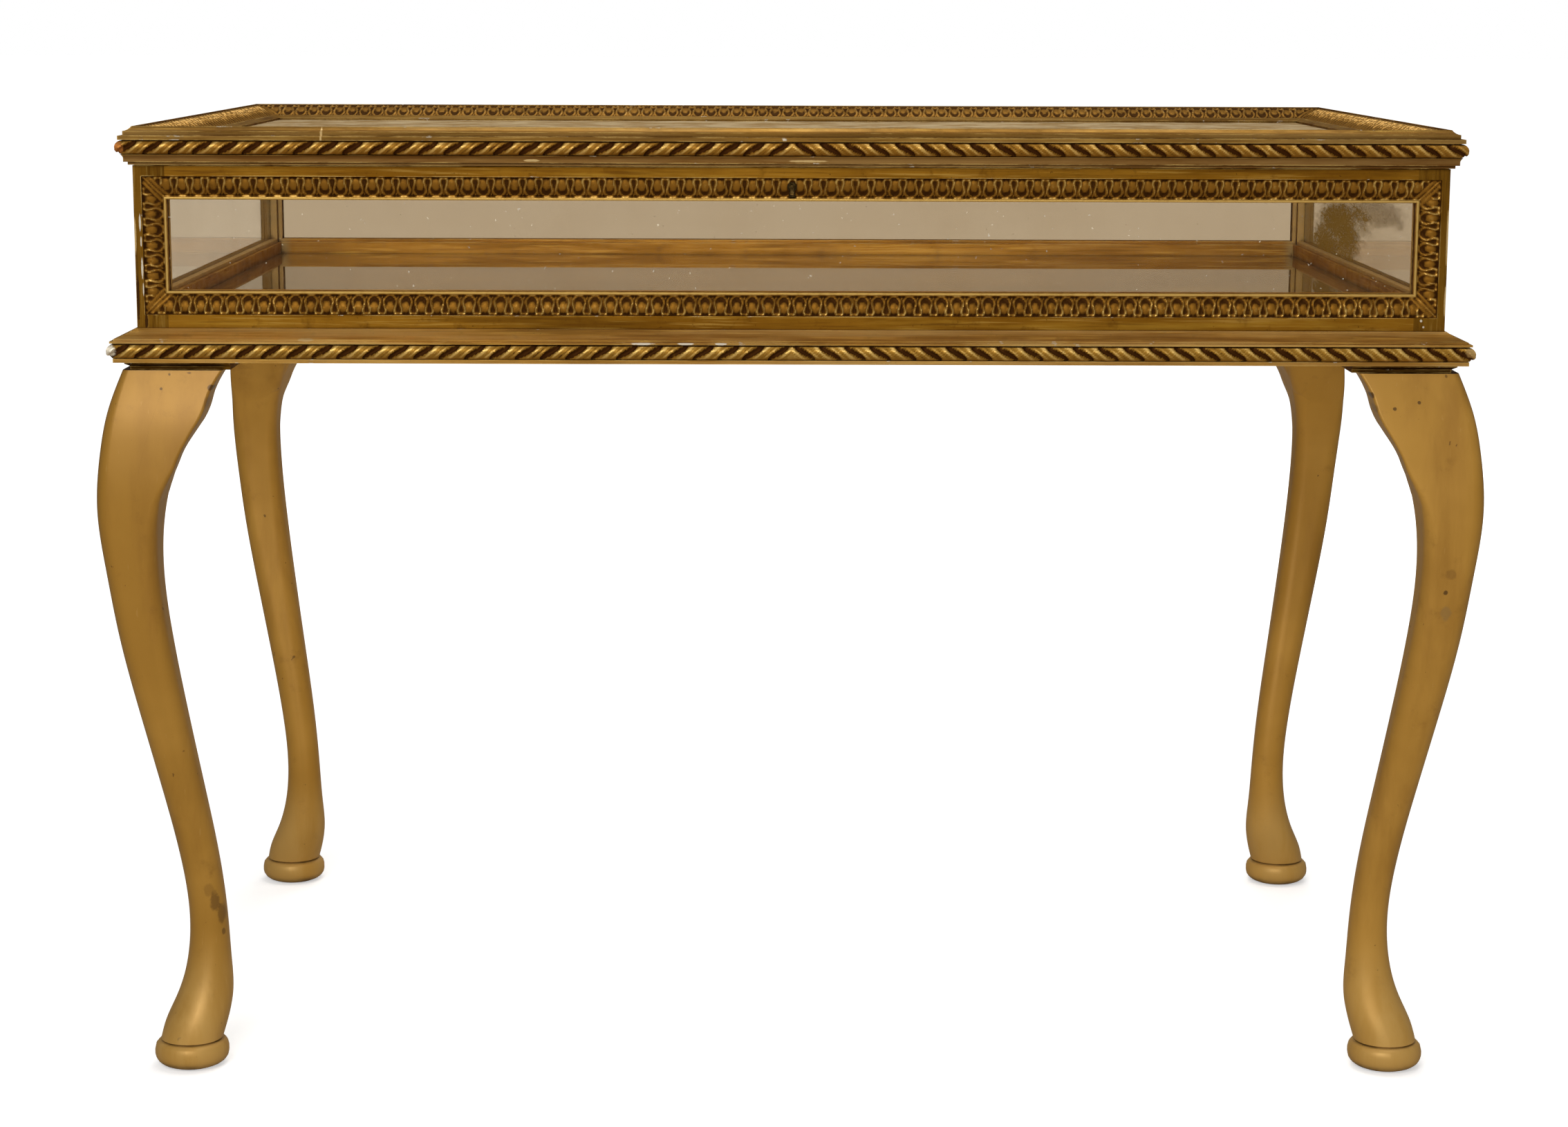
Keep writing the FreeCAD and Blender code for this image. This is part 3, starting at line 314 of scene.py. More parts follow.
# level, how far in the outer faces lie, width, corner radius
LEG_STATIONS = (
    (22.0, -3.0, 51.0, 25.0), (36.0, 0.5, 51.5, 25.2), (56.0, 9.3, 46.3, 22.4),
    (85.0, 18.2, 36.4, 17.0), (120.0, 21.5, 31.0, 13.8), (170.0, 17.2, 30.8, 13.2),
    (235.0, 5.4, 33.3, 13.2), (305.0, -8.8, 36.8, 13.0), (370.0, -20.6, 39.6, 12.0),
    (425.0, -27.8, 42.4, 11.4), (475.0, -32.17, 50.0, 11.0), (520.0, -28.8, 57.5, 10.0),
    (553.0, -22.4, 61.0, 8.5), (584.0, -11.4, 59.5, 6.0),
)
# radius and level down the turned pad
PAD = ((23.0, 22.9), (22.6, 22.2), (23.8, 21.6), (27.4, 20.9), (29.6, 18.2), (30.5, 14.2),
       (30.5, 10.4), (29.7, 7.2), (27.9, 4.4), (25.0, 2.2), (21.4, 0.7), (17.5, 0.0))


def spline(x, y, at):
    """A natural cubic spline through the stations."""
    x, y = np.array(x), np.array(y)
    h = np.diff(x)
    n = len(x)
    matrix, right = np.eye(n), np.zeros(n)
    for i in range(1, n - 1):
        matrix[i, i - 1:i + 2] = h[i - 1], 2 * (h[i - 1] + h[i]), h[i]
        right[i] = 6 * ((y[i + 1] - y[i]) / h[i] - (y[i] - y[i - 1]) / h[i - 1])
    m = np.linalg.solve(matrix, right)
    i = np.clip(np.searchsorted(x, at) - 1, 0, n - 2)
    a, b = x[i + 1] - at, at - x[i]
    return ((m[i] * a ** 3 + m[i + 1] * b ** 3) / (6 * h[i])
            + (y[i] / h[i] - m[i] * h[i] / 6) * a + (y[i + 1] / h[i] - m[i + 1] * h[i] / 6) * b)


def leg_section(inset, width, corner):
    """A rounded square in (x, y) inward from the case's corner, 12 points to a quarter."""
    near, far = inset + corner, inset + width - corner
    loop = []
    for quarter, (x, y) in enumerate(((far, near), (far, far), (near, far), (near, near))):
        for flat in range(8):
            angle = math.radians(90 * (quarter - 1 + flat / 7))
            loop.append((x + corner * math.cos(angle), y + corner * math.sin(angle)))
        nx, ny = ((far, far), (near, far), (near, near), (far, near))[quarter]
        start = np.array(loop[-1])
        angle = math.radians(90 * quarter)
        end = np.array((nx + corner * math.cos(angle), ny + corner * math.sin(angle)))
        for share in (0.2, 0.4, 0.6, 0.8):
            loop.append(tuple(start + (end - start) * share))
    return np.array(loop)


LEG_LEVELS = np.concatenate([np.linspace(23.2, 60, 12), np.linspace(64, 538, 100),
                             np.linspace(540, 584, 30)])
# what the rear knees are slimmer by: middle level, spread and depth
REAR_SLIMMER = (485, 50, 4.0)
REAR_LEFT_SLIMMER = (490, 40, 2.4)


def leg_at(level, corner):
    """How far in the outer faces lie, the width and the corner radius of a leg at a level."""
    z, *columns = zip(*LEG_STATIONS)
    inset, width, rounding = (float(spline(z, column, level)) for column in columns)
    if corner.startswith("rear"):
        middle, span, depth = REAR_SLIMMER
        width -= depth * float(hill(level - middle, span))
    if corner == "rear_left":
        middle, span, depth = REAR_LEFT_SLIMMER
        inset += depth * float(hill(level - middle, span))
        width -= depth * float(hill(level - middle, span))
    return inset, width, rounding


def at_corner(points, corner):
    """Carry points drawn inward from a case corner to that corner."""
    sx, sy = CORNER_SIGNS[CORNERS.index(corner)]
    points = np.array(points)
    points[:, 0] = sx * (HALF_X - points[:, 0])
    points[:, 1] = sy * (HALF_Y - points[:, 1])
    return points


def skin(rings, count):
    """Faces between rings of points, with both ends closed."""
    faces = []
    for r in range(rings - 1):
        for c in range(count):
            d = (c + 1) % count
            faces.append((r * count + c, r * count + d, (r + 1) * count + d, (r + 1) * count + c))
    faces.append(list(range(count)))
    faces.append(list(range((rings - 1) * count, rings * count)))
    return faces


def leg_mesh(corner):
    """A leg from the case down to its turned pad."""
    rings = []
    for level in LEG_LEVELS[::-1]:
        loop = leg_section(*leg_at(level, corner))
        rings.append(np.column_stack([loop, np.full(len(loop), level)]))
    base = leg_section(*LEG_STATIONS[0][1:]) - PAD_MIDDLE
    around = base / np.hypot(*base.T)[:, None]
    for radius, level in PAD:
        loop = PAD_MIDDLE + around * radius
        rings.append(np.column_stack([loop, np.full(len(base), level)]))
    return at_corner(np.concatenate(rings), corner), skin(len(rings), len(base))


# level and how far in the shaped edge reaches, from a scratch script's measurements of the
# photograph's outline, adjusted by hand
EAR_EDGE = ((481, 19.2), (490, 21.6), (500, 24.9), (507, 28.1), (512, 30.0), (517, 32.2),
            (521, 34.6), (526, 37.6), (530, 40.6), (535, 44.0), (539, 46.8), (543, 49.6),
            (548, 52.4), (553, 54.6), (557, 56.0), (562, 57.4), (566, 58.7), (570, 60.5),
            (574, 62.5), (579, 65.4), (584, 68.6))
REAR_EAR_EDGE = ((498, 18.0), (505, 20.8), (512, 23.8), (519, 28.2), (530, 35.0), (539, 42.0),
                 (546, 47.4), (551, 51.0), (557, 54.6), (562, 57.0), (566, 58.7), (570, 60.5),
                 (574, 62.5), (579, 65.4), (584, 68.6))
# how far in the front blocks' backs lie, the level where the blocks' skins begin, where the side
# blocks begin to grow and by how much, and the rounding of the edge at their backs
EAR_BACK = 12.8
EAR_LOW = 428
SIDE_EAR_LOW, SIDE_EAR_REACH = 484, 18.6
FRONT_HEEL, HEEL = 2.0, 9.0


def ear_mesh(corner, along_x):
    """A knee block: it carries the leg's swelling face on to a shaped edge under the case."""
    at_rear = corner.startswith("rear")
    edge_z, edge_in = zip(*(REAR_EAR_EDGE if at_rear else EAR_EDGE))
    heel = FRONT_HEEL if along_x and not at_rear else HEEL
    rings = []
    for level in [z for z in LEG_LEVELS if z > EAR_LOW]:
        inset, width, rounding = leg_at(level, corner)
        side, bend = inset + width, inset + width - rounding
        grown = float(ease(level, 478, 500))
        edge = side - 0.6 + 0.5 * float(ease(level, EAR_LOW, 470))
        if not along_x:
            grow = float(np.clip((level - SIDE_EAR_LOW) / 100, 0, 1))
            edge += SIDE_EAR_REACH * grow ** 1.4
        elif level > edge_z[0]:
            edge = max(edge, float(np.interp(level, edge_z, edge_in)))
        front = edge + 3.0 * float(ease(level, 482, 506)) * (1 - float(ease(level, 508, 545)))
        radius = rounding + (2.6 - rounding) * float(ease(level, 436, 524))
        back = side + 0.05 if at_rear or not along_x else EAR_BACK
        back = bend + (back - bend) * grown
        flat = 0.2 * (width - 2 * rounding)
        start, meet = bend - 2 * flat, bend - flat
        sunk = 0.46 * (1 - float(ease(level, EAR_LOW, 445)))
        face = inset - 0.04 + sunk
        loop = [(start, inset + 0.03 + sunk), (meet, face)]
        loop += [(meet + share * (front - radius - meet), face) for share in (0.25, 0.5, 0.75)]
        loop += [(front - radius + radius * math.sin(a), face + radius - radius * math.cos(a))
                 for a in np.radians(np.linspace(0, 90, 10))]
        loop += [(front + share * (edge - front), face + radius
                  + share * (back - heel - face - radius)) for share in (0.25, 0.5, 0.75)]
        loop += [(edge - heel + heel * math.cos(a), back - heel + heel * math.sin(a))
                 for a in np.radians(np.linspace(0, 90, 7))]
        loop += [(start - 4, back), (start - 0.5, inset + 5)]
        loop = np.array(loop)
        if not along_x:
            loop = loop[:, ::-1]
        rings.append(np.column_stack([loop, np.full(len(loop), level)]))
    return at_corner(np.concatenate(rings), corner), skin(len(rings), len(rings[0]))


# ---------------------------------------------------------------- materials


def srgb(r, g, b):
    """A linear colour from 0-255 display values."""
    return tuple((c / 255 / 12.92 if c <= 10 else ((c / 255 + 0.055) / 1.055) ** 2.4)
                 for c in (r, g, b)) + (1.0,)


def shade(tone, r, g, b):
    """The colour from display values times a tone."""
    return srgb(*(min(255, c * tone) for c in (r, g, b)))


class Tree:
    """Short ways to add nodes to a material."""

    def __init__(self, name):
        self.material = bpy.data.materials.new(name)
        self.material.use_nodes = True
        self.nodes = self.material.node_tree.nodes
        self.links = self.material.node_tree.links
        self.nodes.clear()
        self.output = self.nodes.new("ShaderNodeOutputMaterial")
        self.object = self.nodes.new("ShaderNodeTexCoord").outputs["Object"]

    def add(self, kind, inputs=(), **settings):
        node = self.nodes.new("ShaderNode" + kind)
        for name, value in settings.items():
            setattr(node, name, value)
        for key, value in dict(inputs).items():
            self.put(node.inputs[key], value)
        return node

    def put(self, socket, value):
        """Link a socket to another, or set its value."""
        if isinstance(value, bpy.types.NodeSocket):
            self.links.new(value, socket)
        else:
            socket.default_value = value

    def stretched(self, scale):
        """Coordinates scaled on each axis: noise is drawn out where the scale is small."""
        return self.add("Mapping", {"Vector": self.object, "Scale": scale}).outputs[0]

    def noise(self, scale, detail=4, roughness=0.55, vector=None, distortion=0.0):
        node = self.add("TexNoise", {"Vector": vector or self.object, "Scale": scale,
                                     "Detail": detail, "Roughness": roughness,
                                     "Distortion": distortion})
        return node.outputs["Fac"]

    def math(self, operation, a, b=0.0, clamp=False):
        node = self.add("Math", {0: a, 1: b}, operation=operation, use_clamp=clamp)
        return node.outputs[0]

    def between(self, value, low, high, to_low=0.0, to_high=1.0):
        """A smooth step from to_low at low to to_high at high, which may be the lower."""
        node = self.add("MapRange", {"Value": value, "From Min": low, "From Max": high,
                                     "To Min": to_low, "To Max": to_high},
                        interpolation_type="SMOOTHSTEP")
        return node.outputs["Result"]

    def mix(self, factor, a, b, blend="MIX"):
        node = self.add("Mix", data_type="RGBA", blend_type=blend)
        for socket, value in ((node.inputs[0], factor), (node.inputs[6], a), (node.inputs[7], b)):
            self.put(socket, value)
        return node.outputs[2]

    def spot(self, centre, radii, ragged=0.0, noise_scale=300.0, rim=(1.15, 0.85), run=(1, 1, 1)):
        """1 inside an ellipsoid given in millimetres, 0 outside, with a ragged edge.

        rim is where it begins and where it is full, as shares of the radii, and run is the scale
        on each axis of the noise that makes it ragged.
        """
        offset = self.add("VectorMath", {0: self.object, 1: [c * MM for c in centre]},
                          operation="SUBTRACT").outputs[0]
        scaled = self.add("VectorMath", {0: offset, 1: [1 / (r * MM) for r in radii]},
                          operation="MULTIPLY").outputs[0]
        length = self.add("VectorMath", {0: scaled}, operation="LENGTH").outputs["Value"]
        if ragged:
            length = self.math("ADD", length, self.math(
                "MULTIPLY", self.math("SUBTRACT", self.noise(
                    noise_scale, 4, 0.65, self.stretched(run)), 0.5), ragged))
        return self.between(length, *rim)

    def edges(self, radius, low, high):
        """1 along arrises that the gilding has worn from."""
        rounded = self.add("Bevel", {"Radius": radius}, samples=4).outputs[0]
        plain = self.add("NewGeometry").outputs["Normal"]
        same = self.add("VectorMath", {0: rounded, 1: plain}, operation="DOT_PRODUCT")
        return self.between(self.math("SUBTRACT", 1.0, same.outputs["Value"]), low, high)

    def shade_and_dirt(self, distance, low, high):
        """1 in hollows and corners, where dirt gathers and shade falls: it paints shade there as
        well as dirt.
        """
        openness = self.add("AmbientOcclusion", {"Distance": distance}, samples=6).outputs["AO"]
        return self.between(openness, high, low)

    def reach(self, axis):
        """Distance from the middle of the case along an axis."""
        return self.math("ABSOLUTE", self.add("SeparateXYZ", {0: self.object}).outputs[axis])

    def chipped(self, color, chips, ragged):
        """Bare gesso or worn patches: centre and radii in millimetres, and a colour."""
        for centre, radii, paint in chips:
            color = self.mix(self.spot(centre, radii, ragged), color, srgb(*paint))
        return color

    def finish(self, color, roughness, metallic, normal=None, sheen=(1, 1, 1, 1), **plain):
        shader = self.add("BsdfPrincipled", {"Base Color": color, "Roughness": roughness,
                                             "Metallic": metallic, "Specular Tint": sheen})
        if normal is not None:
            self.put(shader.inputs["Normal"], normal)
        for name, value in plain.items():
            shader.inputs[name.replace("_", " ")].default_value = value
        self.links.new(shader.outputs[0], self.output.inputs[0])
        return self.material

    def bump(self, height, strength, distance, normal=None):
        inputs = {"Height": height, "Strength": strength, "Distance": distance}
        if normal is not None:
            inputs["Normal"] = normal
        return self.add("Bump", inputs).outputs[0]


GOLD_SHEEN, PALE_SHEEN = srgb(226, 176, 96), srgb(255, 238, 210)


def case_gilding(name, grain_run, tone=1.0, chips=(), shade_and_dirt=0.9, rub=0.0, keep=None,
                 ends=None):
    """Aged water gilding over gesso: streaks along the run, patina and painted shade in hollows,
    rubbed arrises.

    rub is how much of the gold is rubbed pale; on the base and inside it also stands for painted
    light. keep is an axis, a distance from the middle where the rubbed arrises have faded out,
    short of a joint, and one where they are whole. ends is an axis, a distance where another colour
    begins, one where it is full, and that colour, used here for painted shade and a painted
    reflection.
    """
    t = Tree(name)
    cloud = t.noise(6, 5, 0.6)
    mottle = t.noise(70, 5, 0.62)
    streaks = t.noise(60, 5, 0.65, t.stretched(grain_run))
    fine = t.noise(430, 3, 0.6, t.stretched([c if c > 0.5 else 0.4 * c for c in grain_run]))
    color = t.mix(t.between(cloud, 0.35, 0.65), shade(tone, 122, 81, 18), shade(tone, 146, 102, 28))
    color = t.mix(t.between(streaks, 0.48, 0.70, 0, 0.7), color, shade(tone, 86, 54, 10))
    color = t.mix(t.between(streaks, 0.44, 0.30, 0, 0.5), color, shade(tone, 172, 132, 46))
    color = t.mix(t.between(fine, 0.54, 0.68, 0, 0.55), color, shade(tone, 84, 50, 12))
    color = t.mix(t.between(fine, 0.45, 0.32, 0, 0.45), color, shade(tone, 186, 148, 70))
    color = t.mix(t.between(mottle, 0.55, 0.75, 0, 0.6), color, shade(tone, 92, 58, 12))
    color = t.mix(t.between(t.noise(420, 3, 0.6), 0.66, 0.74, 0, 0.7), color, srgb(60, 34, 10))
    if ends:
        axis, begins, full, paint = ends
        color = t.mix(t.between(t.reach(axis), begins, full, 0, 0.85), color, srgb(*paint))
    if rub:
        color = t.mix(t.between(streaks, 0.62, 0.40, 0.3 * rub, rub), color, srgb(200, 166, 104))
    # hollows darkened to brown by occlusion: dirt and painted shade
    color = t.mix(t.shade_and_dirt(0.006, 0.30, shade_and_dirt), color, srgb(54, 28, 7))
    rubbed = t.between(t.noise(38, 5, 0.7, t.stretched([0.4 + 0.6 * c for c in grain_run])),
                       0.44, 0.58)
    arris, sharp = t.edges(0.0014, 0.02, 0.12), t.edges(0.0016, 0.01, 0.08)
    if keep:
        axis, faded, whole = keep
        kept = t.between(t.reach(axis), faded, whole)
        arris, sharp = t.math("MULTIPLY", arris, kept), t.math("MULTIPLY", sharp, kept)
    worn = t.math("MULTIPLY", arris, rubbed)
    color = t.mix(worn, color, srgb(208, 172, 100))
    fleck = t.math("MULTIPLY", sharp, t.between(mottle, 0.64, 0.68))
    color = t.mix(fleck, color, srgb(226, 214, 188))
    color = t.chipped(color, chips, 0.9)
    rough = t.between(mottle, 0.3, 0.75, 0.38, 0.56)
    normal = t.bump(t.noise(800, 3, 0.6), 0.25, 0.0002, t.bump(streaks, 0.35, 0.0005))
    return t.finish(color, rough, 0.6, normal, GOLD_SHEEN, Specular_IOR_Level=0.2)


def carved_gilding(name, dark, mid, bright, chips=()):
    """Gilding on carving: bright where it stands proud, dark brown in the cuts, and painted shade
    in hollows.
    """
    t = Tree(name)
    worn = t.add("Attribute", attribute_name="worn").outputs["Fac"]
    mottle = t.noise(170, 4, 0.65)
    wide = t.noise(16, 4, 0.6)
    height = t.math("ADD", worn, t.math("MULTIPLY", t.math("SUBTRACT", mottle, 0.5), 0.7))
    height = t.math("ADD", height, t.math("MULTIPLY", t.math("SUBTRACT", wide, 0.5), 0.5))
    color = t.mix(t.between(height, 0.08, 0.42), dark, mid)
    color = t.mix(t.between(height, 0.50, 0.95), color, bright)
    # hollows darkened by occlusion: painted shade
    color = t.mix(t.shade_and_dirt(0.004, 0.30, 0.75), color, dark)
    color = t.chipped(color, chips, 0.7)
    rough = t.between(height, 0.1, 0.9, 0.60, 0.38)
    normal = t.bump(t.noise(700, 3, 0.6), 0.3, 0.00025)
    return t.finish(color, rough, 0.6, normal, GOLD_SHEEN, Specular_IOR_Level=0.15)


def leg_gilding(name, tone=1.0, marks=()):
    """Satin bronze-gold over wood: soft clouding, brown rubbing, faint specks and knocks, and
    painted shade in hollows and under the caps.

    marks are (centre, radii, strength, colour) of stains and dents.
    """
    t = Tree(name)
    cloud = t.noise(5, 4, 0.55)
    along = t.noise(26, 5, 0.6, t.stretched((1.0, 1.0, 0.14)))
    color = t.mix(t.between(cloud, 0.35, 0.66), shade(tone, 164, 119, 44),
                  shade(tone, 186, 139, 60))
    color = t.mix(t.between(along, 0.46, 0.72, 0, 0.55), color, shade(tone, 142, 98, 34))
    color = t.mix(t.between(t.noise(34, 6, 0.7), 0.56, 0.78, 0, 0.6), color,
                  shade(tone, 134, 92, 34))
    color = t.mix(t.between(t.noise(150, 2, 0.5), 0.735, 0.765, 0, 0.7), color, srgb(88, 56, 22))
    scratch = t.noise(46, 2, 0.5, t.stretched((8.0, 8.0, 0.5)))
    color = t.mix(t.between(scratch, 0.70, 0.75, 0, 0.22), color, srgb(190, 150, 84))
    worn = t.math("MULTIPLY", t.edges(0.0022, 0.05, 0.25), t.between(along, 0.35, 0.6))
    color = t.mix(t.math("MULTIPLY", worn, 0.5), color, srgb(196, 160, 96))
    # painted shadow band under the caps, and painted shade in the legs' hollows
    color = t.mix(t.shade_and_dirt(0.012, 0.25, 0.85), color, srgb(62, 36, 12))
    height = t.add("SeparateXYZ", {0: t.object}).outputs["Z"]
    # paler towards the feet, from 120 mm down to full below 50 mm
    rubbed = t.math("MULTIPLY", t.between(height, 0.12, 0.05),
                    t.between(along, 0.30, 0.58, 0.25, 0.7))
    color = t.mix(rubbed, color, srgb(206, 164, 92))
    for centre, radii, strength, paint in marks:
        spot = t.math("MULTIPLY", t.spot(centre, radii, 1.1, 210.0, (1.25, 0.75)), strength)
        color = t.mix(spot, color, srgb(*paint))
    rough = t.between(cloud, 0.3, 0.7, 0.38, 0.48)
    normal = t.bump(t.noise(420, 3, 0.6), 0.08, 0.0002, t.bump(t.noise(16, 3), 0.25, 0.0012))
    return t.finish(color, rough, 0.2, normal, PALE_SHEEN, Specular_IOR_Level=0.6)


def plain_timber(name):
    """Bare dark wood with a level grain."""
    t = Tree(name)
    grain = t.noise(26, 6, 0.6, t.stretched((1.2, 1.2, 9.0)), 0.6)
    pores = t.noise(420, 3, 0.7, t.stretched((0.15, 0.15, 1.0)))
    color = t.mix(t.between(grain, 0.32, 0.68), srgb(70, 42, 22), srgb(122, 78, 40))
    color = t.mix(t.between(pores, 0.6, 0.72, 0, 0.6), color, srgb(40, 22, 12))
    return t.finish(color, t.between(grain, 0.3, 0.7, 0.5, 0.66), 0.0,
                    t.bump(pores, 0.2, 0.0002))


def aged_brass(name, tone=1.0):
    """Brushed brass with brown tarnish."""
    t = Tree(name)
    tarnish = t.noise(90, 5, 0.65)
    brushed = t.noise(240, 3, 0.5, t.stretched((0.12, 1.0, 1.0)))
    color = t.mix(t.between(tarnish, 0.42, 0.68), shade(tone, 214, 178, 108),
                  shade(tone, 134, 98, 48))
    # hollows darkened by occlusion: tarnish and painted shade
    color = t.mix(t.shade_and_dirt(0.002, 0.3, 0.8), color, srgb(60, 42, 20))
    rough = t.between(tarnish, 0.35, 0.7, 0.24, 0.48)
    return t.finish(color, rough, 1.0, t.bump(brushed, 0.12, 0.00015))


# the end panes are seen nearly edge on, so the grain of their dirt is drawn out to the rear
GRAZED = (1.0, 0.2, 1.0)


def old_glass(name, tint, haze=0.04, veil=0.0, stains=(), stain=(152, 118, 58)):
    """Thin old glass, a little warm and dusty, that lets lamps through.

    haze is how much dirt lies on it and veil how much dust shows where it is seen nearly edge on.
    stains are (centre, radii, strength), and stain is the colour of all the dirt.
    """
    t = Tree(name)
    dust = t.noise(9, 5, 0.6)
    glass = t.add("BsdfPrincipled", {"Base Color": tint, "Roughness": 0.0, "Metallic": 0.0,
                                     "Transmission Weight": 1.0, "IOR": 1.2})
    dirt = t.add("BsdfDiffuse", {"Color": srgb(*stain)})
    amount = t.between(dust, 0.42, 0.75, 0.4 * haze, 1.6 * haze)
    specks = t.between(t.noise(240, 2, 0.5), 0.745, 0.765)
    grainy = t.between(t.noise(900, 3, 0.7, t.stretched(GRAZED)), 0.34, 0.62, 0.35, 1.0)
    for centre, radii, strength in stains:
        spot = t.math("MULTIPLY", t.spot(centre, radii, 1.5, 110.0, (1.3, 0.55), GRAZED), strength)
        amount = t.math("ADD", amount, t.math("MULTIPLY", spot, grainy), True)
    surface = t.add("MixShader", {0: amount, 1: glass.outputs[0], 2: dirt.outputs[0]})
    pale = t.add("BsdfDiffuse", {"Color": srgb(214, 207, 190)})
    surface = t.add("MixShader", {0: t.math("MULTIPLY", specks, 0.5), 1: surface.outputs[0],
                                  2: pale.outputs[0]})
    if veil:
        old_dust = t.add("BsdfDiffuse", {"Color": t.mix(t.between(t.noise(26, 5, 0.7), 0.35, 0.65),
                                                        srgb(152, 124, 82), srgb(192, 170, 132))})
        along = t.add("LayerWeight", {"Blend": 0.5}).outputs["Facing"]
        amount = t.math("MULTIPLY", t.between(along, 0.80, 0.95), t.between(dust, 0.3, 0.7,
                                                                            0.85 * veil, veil))
        surface = t.add("MixShader", {0: amount, 1: surface.outputs[0], 2: old_dust.outputs[0]})
    clear = t.add("BsdfTransparent", {"Color": (0.96, 0.96, 0.95, 1)})
    shadow = t.add("LightPath").outputs["Is Shadow Ray"]
    whole = t.add("MixShader", {0: shadow, 1: surface.outputs[0], 2: clear.outputs[0]})
    t.links.new(whole.outputs[0], t.output.inputs[0])
    return t.material


ALONG_X, ALONG_Y, UPRIGHT = (0.07, 1.0, 1.0), (1.0, 0.07, 1.0), (1.0, 1.0, 0.10)
GESSO, WORN_GOLD, DARK = (218, 208, 188), (196, 166, 112), (66, 40, 16)
# the first two are painted light: the glass's reflection over inside faces, and shade under the
# lid's rope
OLIVE_PAINTED_REFLECTION, PAINTED_UNDER_LID_SHADE, PATCH = (168, 146, 104), (98, 56, 14), (84, 54, 24)
TINT, CLEAR_TINT, FRONT_TINT = srgb(182, 166, 145), srgb(206, 195, 180), srgb(238, 231, 214)

POST_CHIPS = (
    ((-515.4, -310, 700), (0.8, 2, 7), GESSO), ((-514.9, -310, 685), (0.6, 2, 4), GESSO),
    ((-514.6, -310, 664), (0.8, 2, 8), GESSO), ((-514.2, -310, 647), (0.5, 2, 5), GESSO),
    ((-519.4, -310, 690), (0.8, 2, 14), WORN_GOLD), ((-518.6, -310, 640), (1.1, 3, 20), DARK),
    ((-512.5, -310, 622), (1.2, 3, 6), DARK), ((501, -310, 625), (1.0, 2, 1.1), GESSO),
    ((503, -310, 620), (0.8, 2, 0.8), GESSO), ((519.4, -310, 690), (0.8, 2, 22), WORN_GOLD),
    ((519.4, -310, 640), (0.7, 2, 12), WORN_GOLD),
)
BASE_CHIPS = (
    ((-118, -331, 607), (10, 4, 1.3), GESSO), ((-84, -331, 607), (7, 4, 1.2), GESSO),
    ((-56, -331, 607), (5, 4, 1.3), GESSO), ((-384, -326, 609), (6, 4, 1.5), WORN_GOLD),
)
LID_CHIPS = (
    ((-6, -323, 767), (3, 4, 2), GESSO), ((-370, -318, 771), (0.9, 9, 8), WORN_GOLD),
    ((12, -315, 750), (15, 4, 0.9), WORN_GOLD), ((-205, -315, 750), (6, 4, 1), WORN_GOLD),
)
RIBBON_CHIPS = (
    ((-541, -331, 600), (7, 7, 7), GESSO), ((541, -331, 602), (8, 8, 5), (178, 144, 88)),
)
LID_RIBBON_CHIPS = (
    ((-531, -321, 759), (6, 9, 6), (170, 108, 52)),
)
LEG_MARKS = (
    ((526.9, -337, 425), (4, 8, 4), 0.4, (112, 76, 30)),
    ((523.6, -335, 410), (1.7, 8, 1.7), 0.8, DARK),
    ((524.7, -334, 393), (4, 9, 6), 0.45, (128, 104, 66)),
    ((-480, -290, 149), (3.6, 16, 6), 0.3, (96, 62, 26)),
    ((-475.5, -290, 139), (3.6, 16, 8), 0.6, PATCH),
    ((-470.5, -286, 128), (3.2, 16, 8), 0.55, PATCH),
    ((-469.6, -284, 112), (1.2, 16, 2.4), 0.6, PATCH),
    ((-460.2, -322, 571), (2.6, 12, 2.4), 0.85, DARK),
    ((-463.6, -322, 559), (2.2, 12, 5), 0.5, (112, 80, 44)),
    ((460.6, -322, 567), (2.2, 12, 2.6), 0.85, DARK),
    ((464.2, -322, 557), (2.2, 12, 3.8), 0.5, (112, 80, 44)),
    ((478.4, -332, 557), (1.5, 9, 1.5), 0.8, DARK), ((498, -332, 562), (1.3, 9, 1.3), 0.8, DARK),
    ((-499.3, -331, 570), (1.3, 9, 1.3), 0.8, DARK),
    ((-493.3, -328, 581), (1.4, 9, 1.4), 0.8, DARK),
)
PANE_STAINS = (
    ((506, 108, 664), (12, 115, 30), 1.0), ((506, 60, 682), (12, 110, 18), 0.7),
    ((506, -76, 697), (12, 130, 12), 0.55), ((506, 185, 645), (12, 60, 24), 0.6),
)

gilt_x = case_gilding("aged_gilding_x", ALONG_X, 1.05, keep=("X", 0.4935, 0.488))
gilt_y = case_gilding("aged_gilding_y", ALONG_Y, 1.05, keep=("Y", 0.2835, 0.278))
# the posts' inside faces are painted olive-grey: a painted reflection of the glass in front of them
gilt_z = case_gilding("aged_gilding_z", UPRIGHT, 0.88, POST_CHIPS, keep=("X", 0.500, 0.508),
                      ends=("Y", 0.2885, 0.2865, OLIVE_PAINTED_REFLECTION))
# lighter copies of the gilding with much pale rubbing: wear, and painted light on the up-facing
# base moulding
base_x_painted_light = case_gilding("base_gilding_x_painted_light", ALONG_X, 1.28, BASE_CHIPS, 0.6, 0.6)
base_y_painted_light = case_gilding("base_gilding_y_painted_light", ALONG_Y, 1.3, (), 0.6, 0.55)
# the lid's lower edge under its rope is painted dark brown: painted shade
lid_x = case_gilding("lid_gilding_x", ALONG_X, 0.94, LID_CHIPS, 0.9, 0.3,
                     ends=("Z", 0.7535, 0.7525, PAINTED_UNDER_LID_SHADE))
lid_y = case_gilding("lid_gilding_y", ALONG_Y, 0.88, (), 0.9, 0.2)
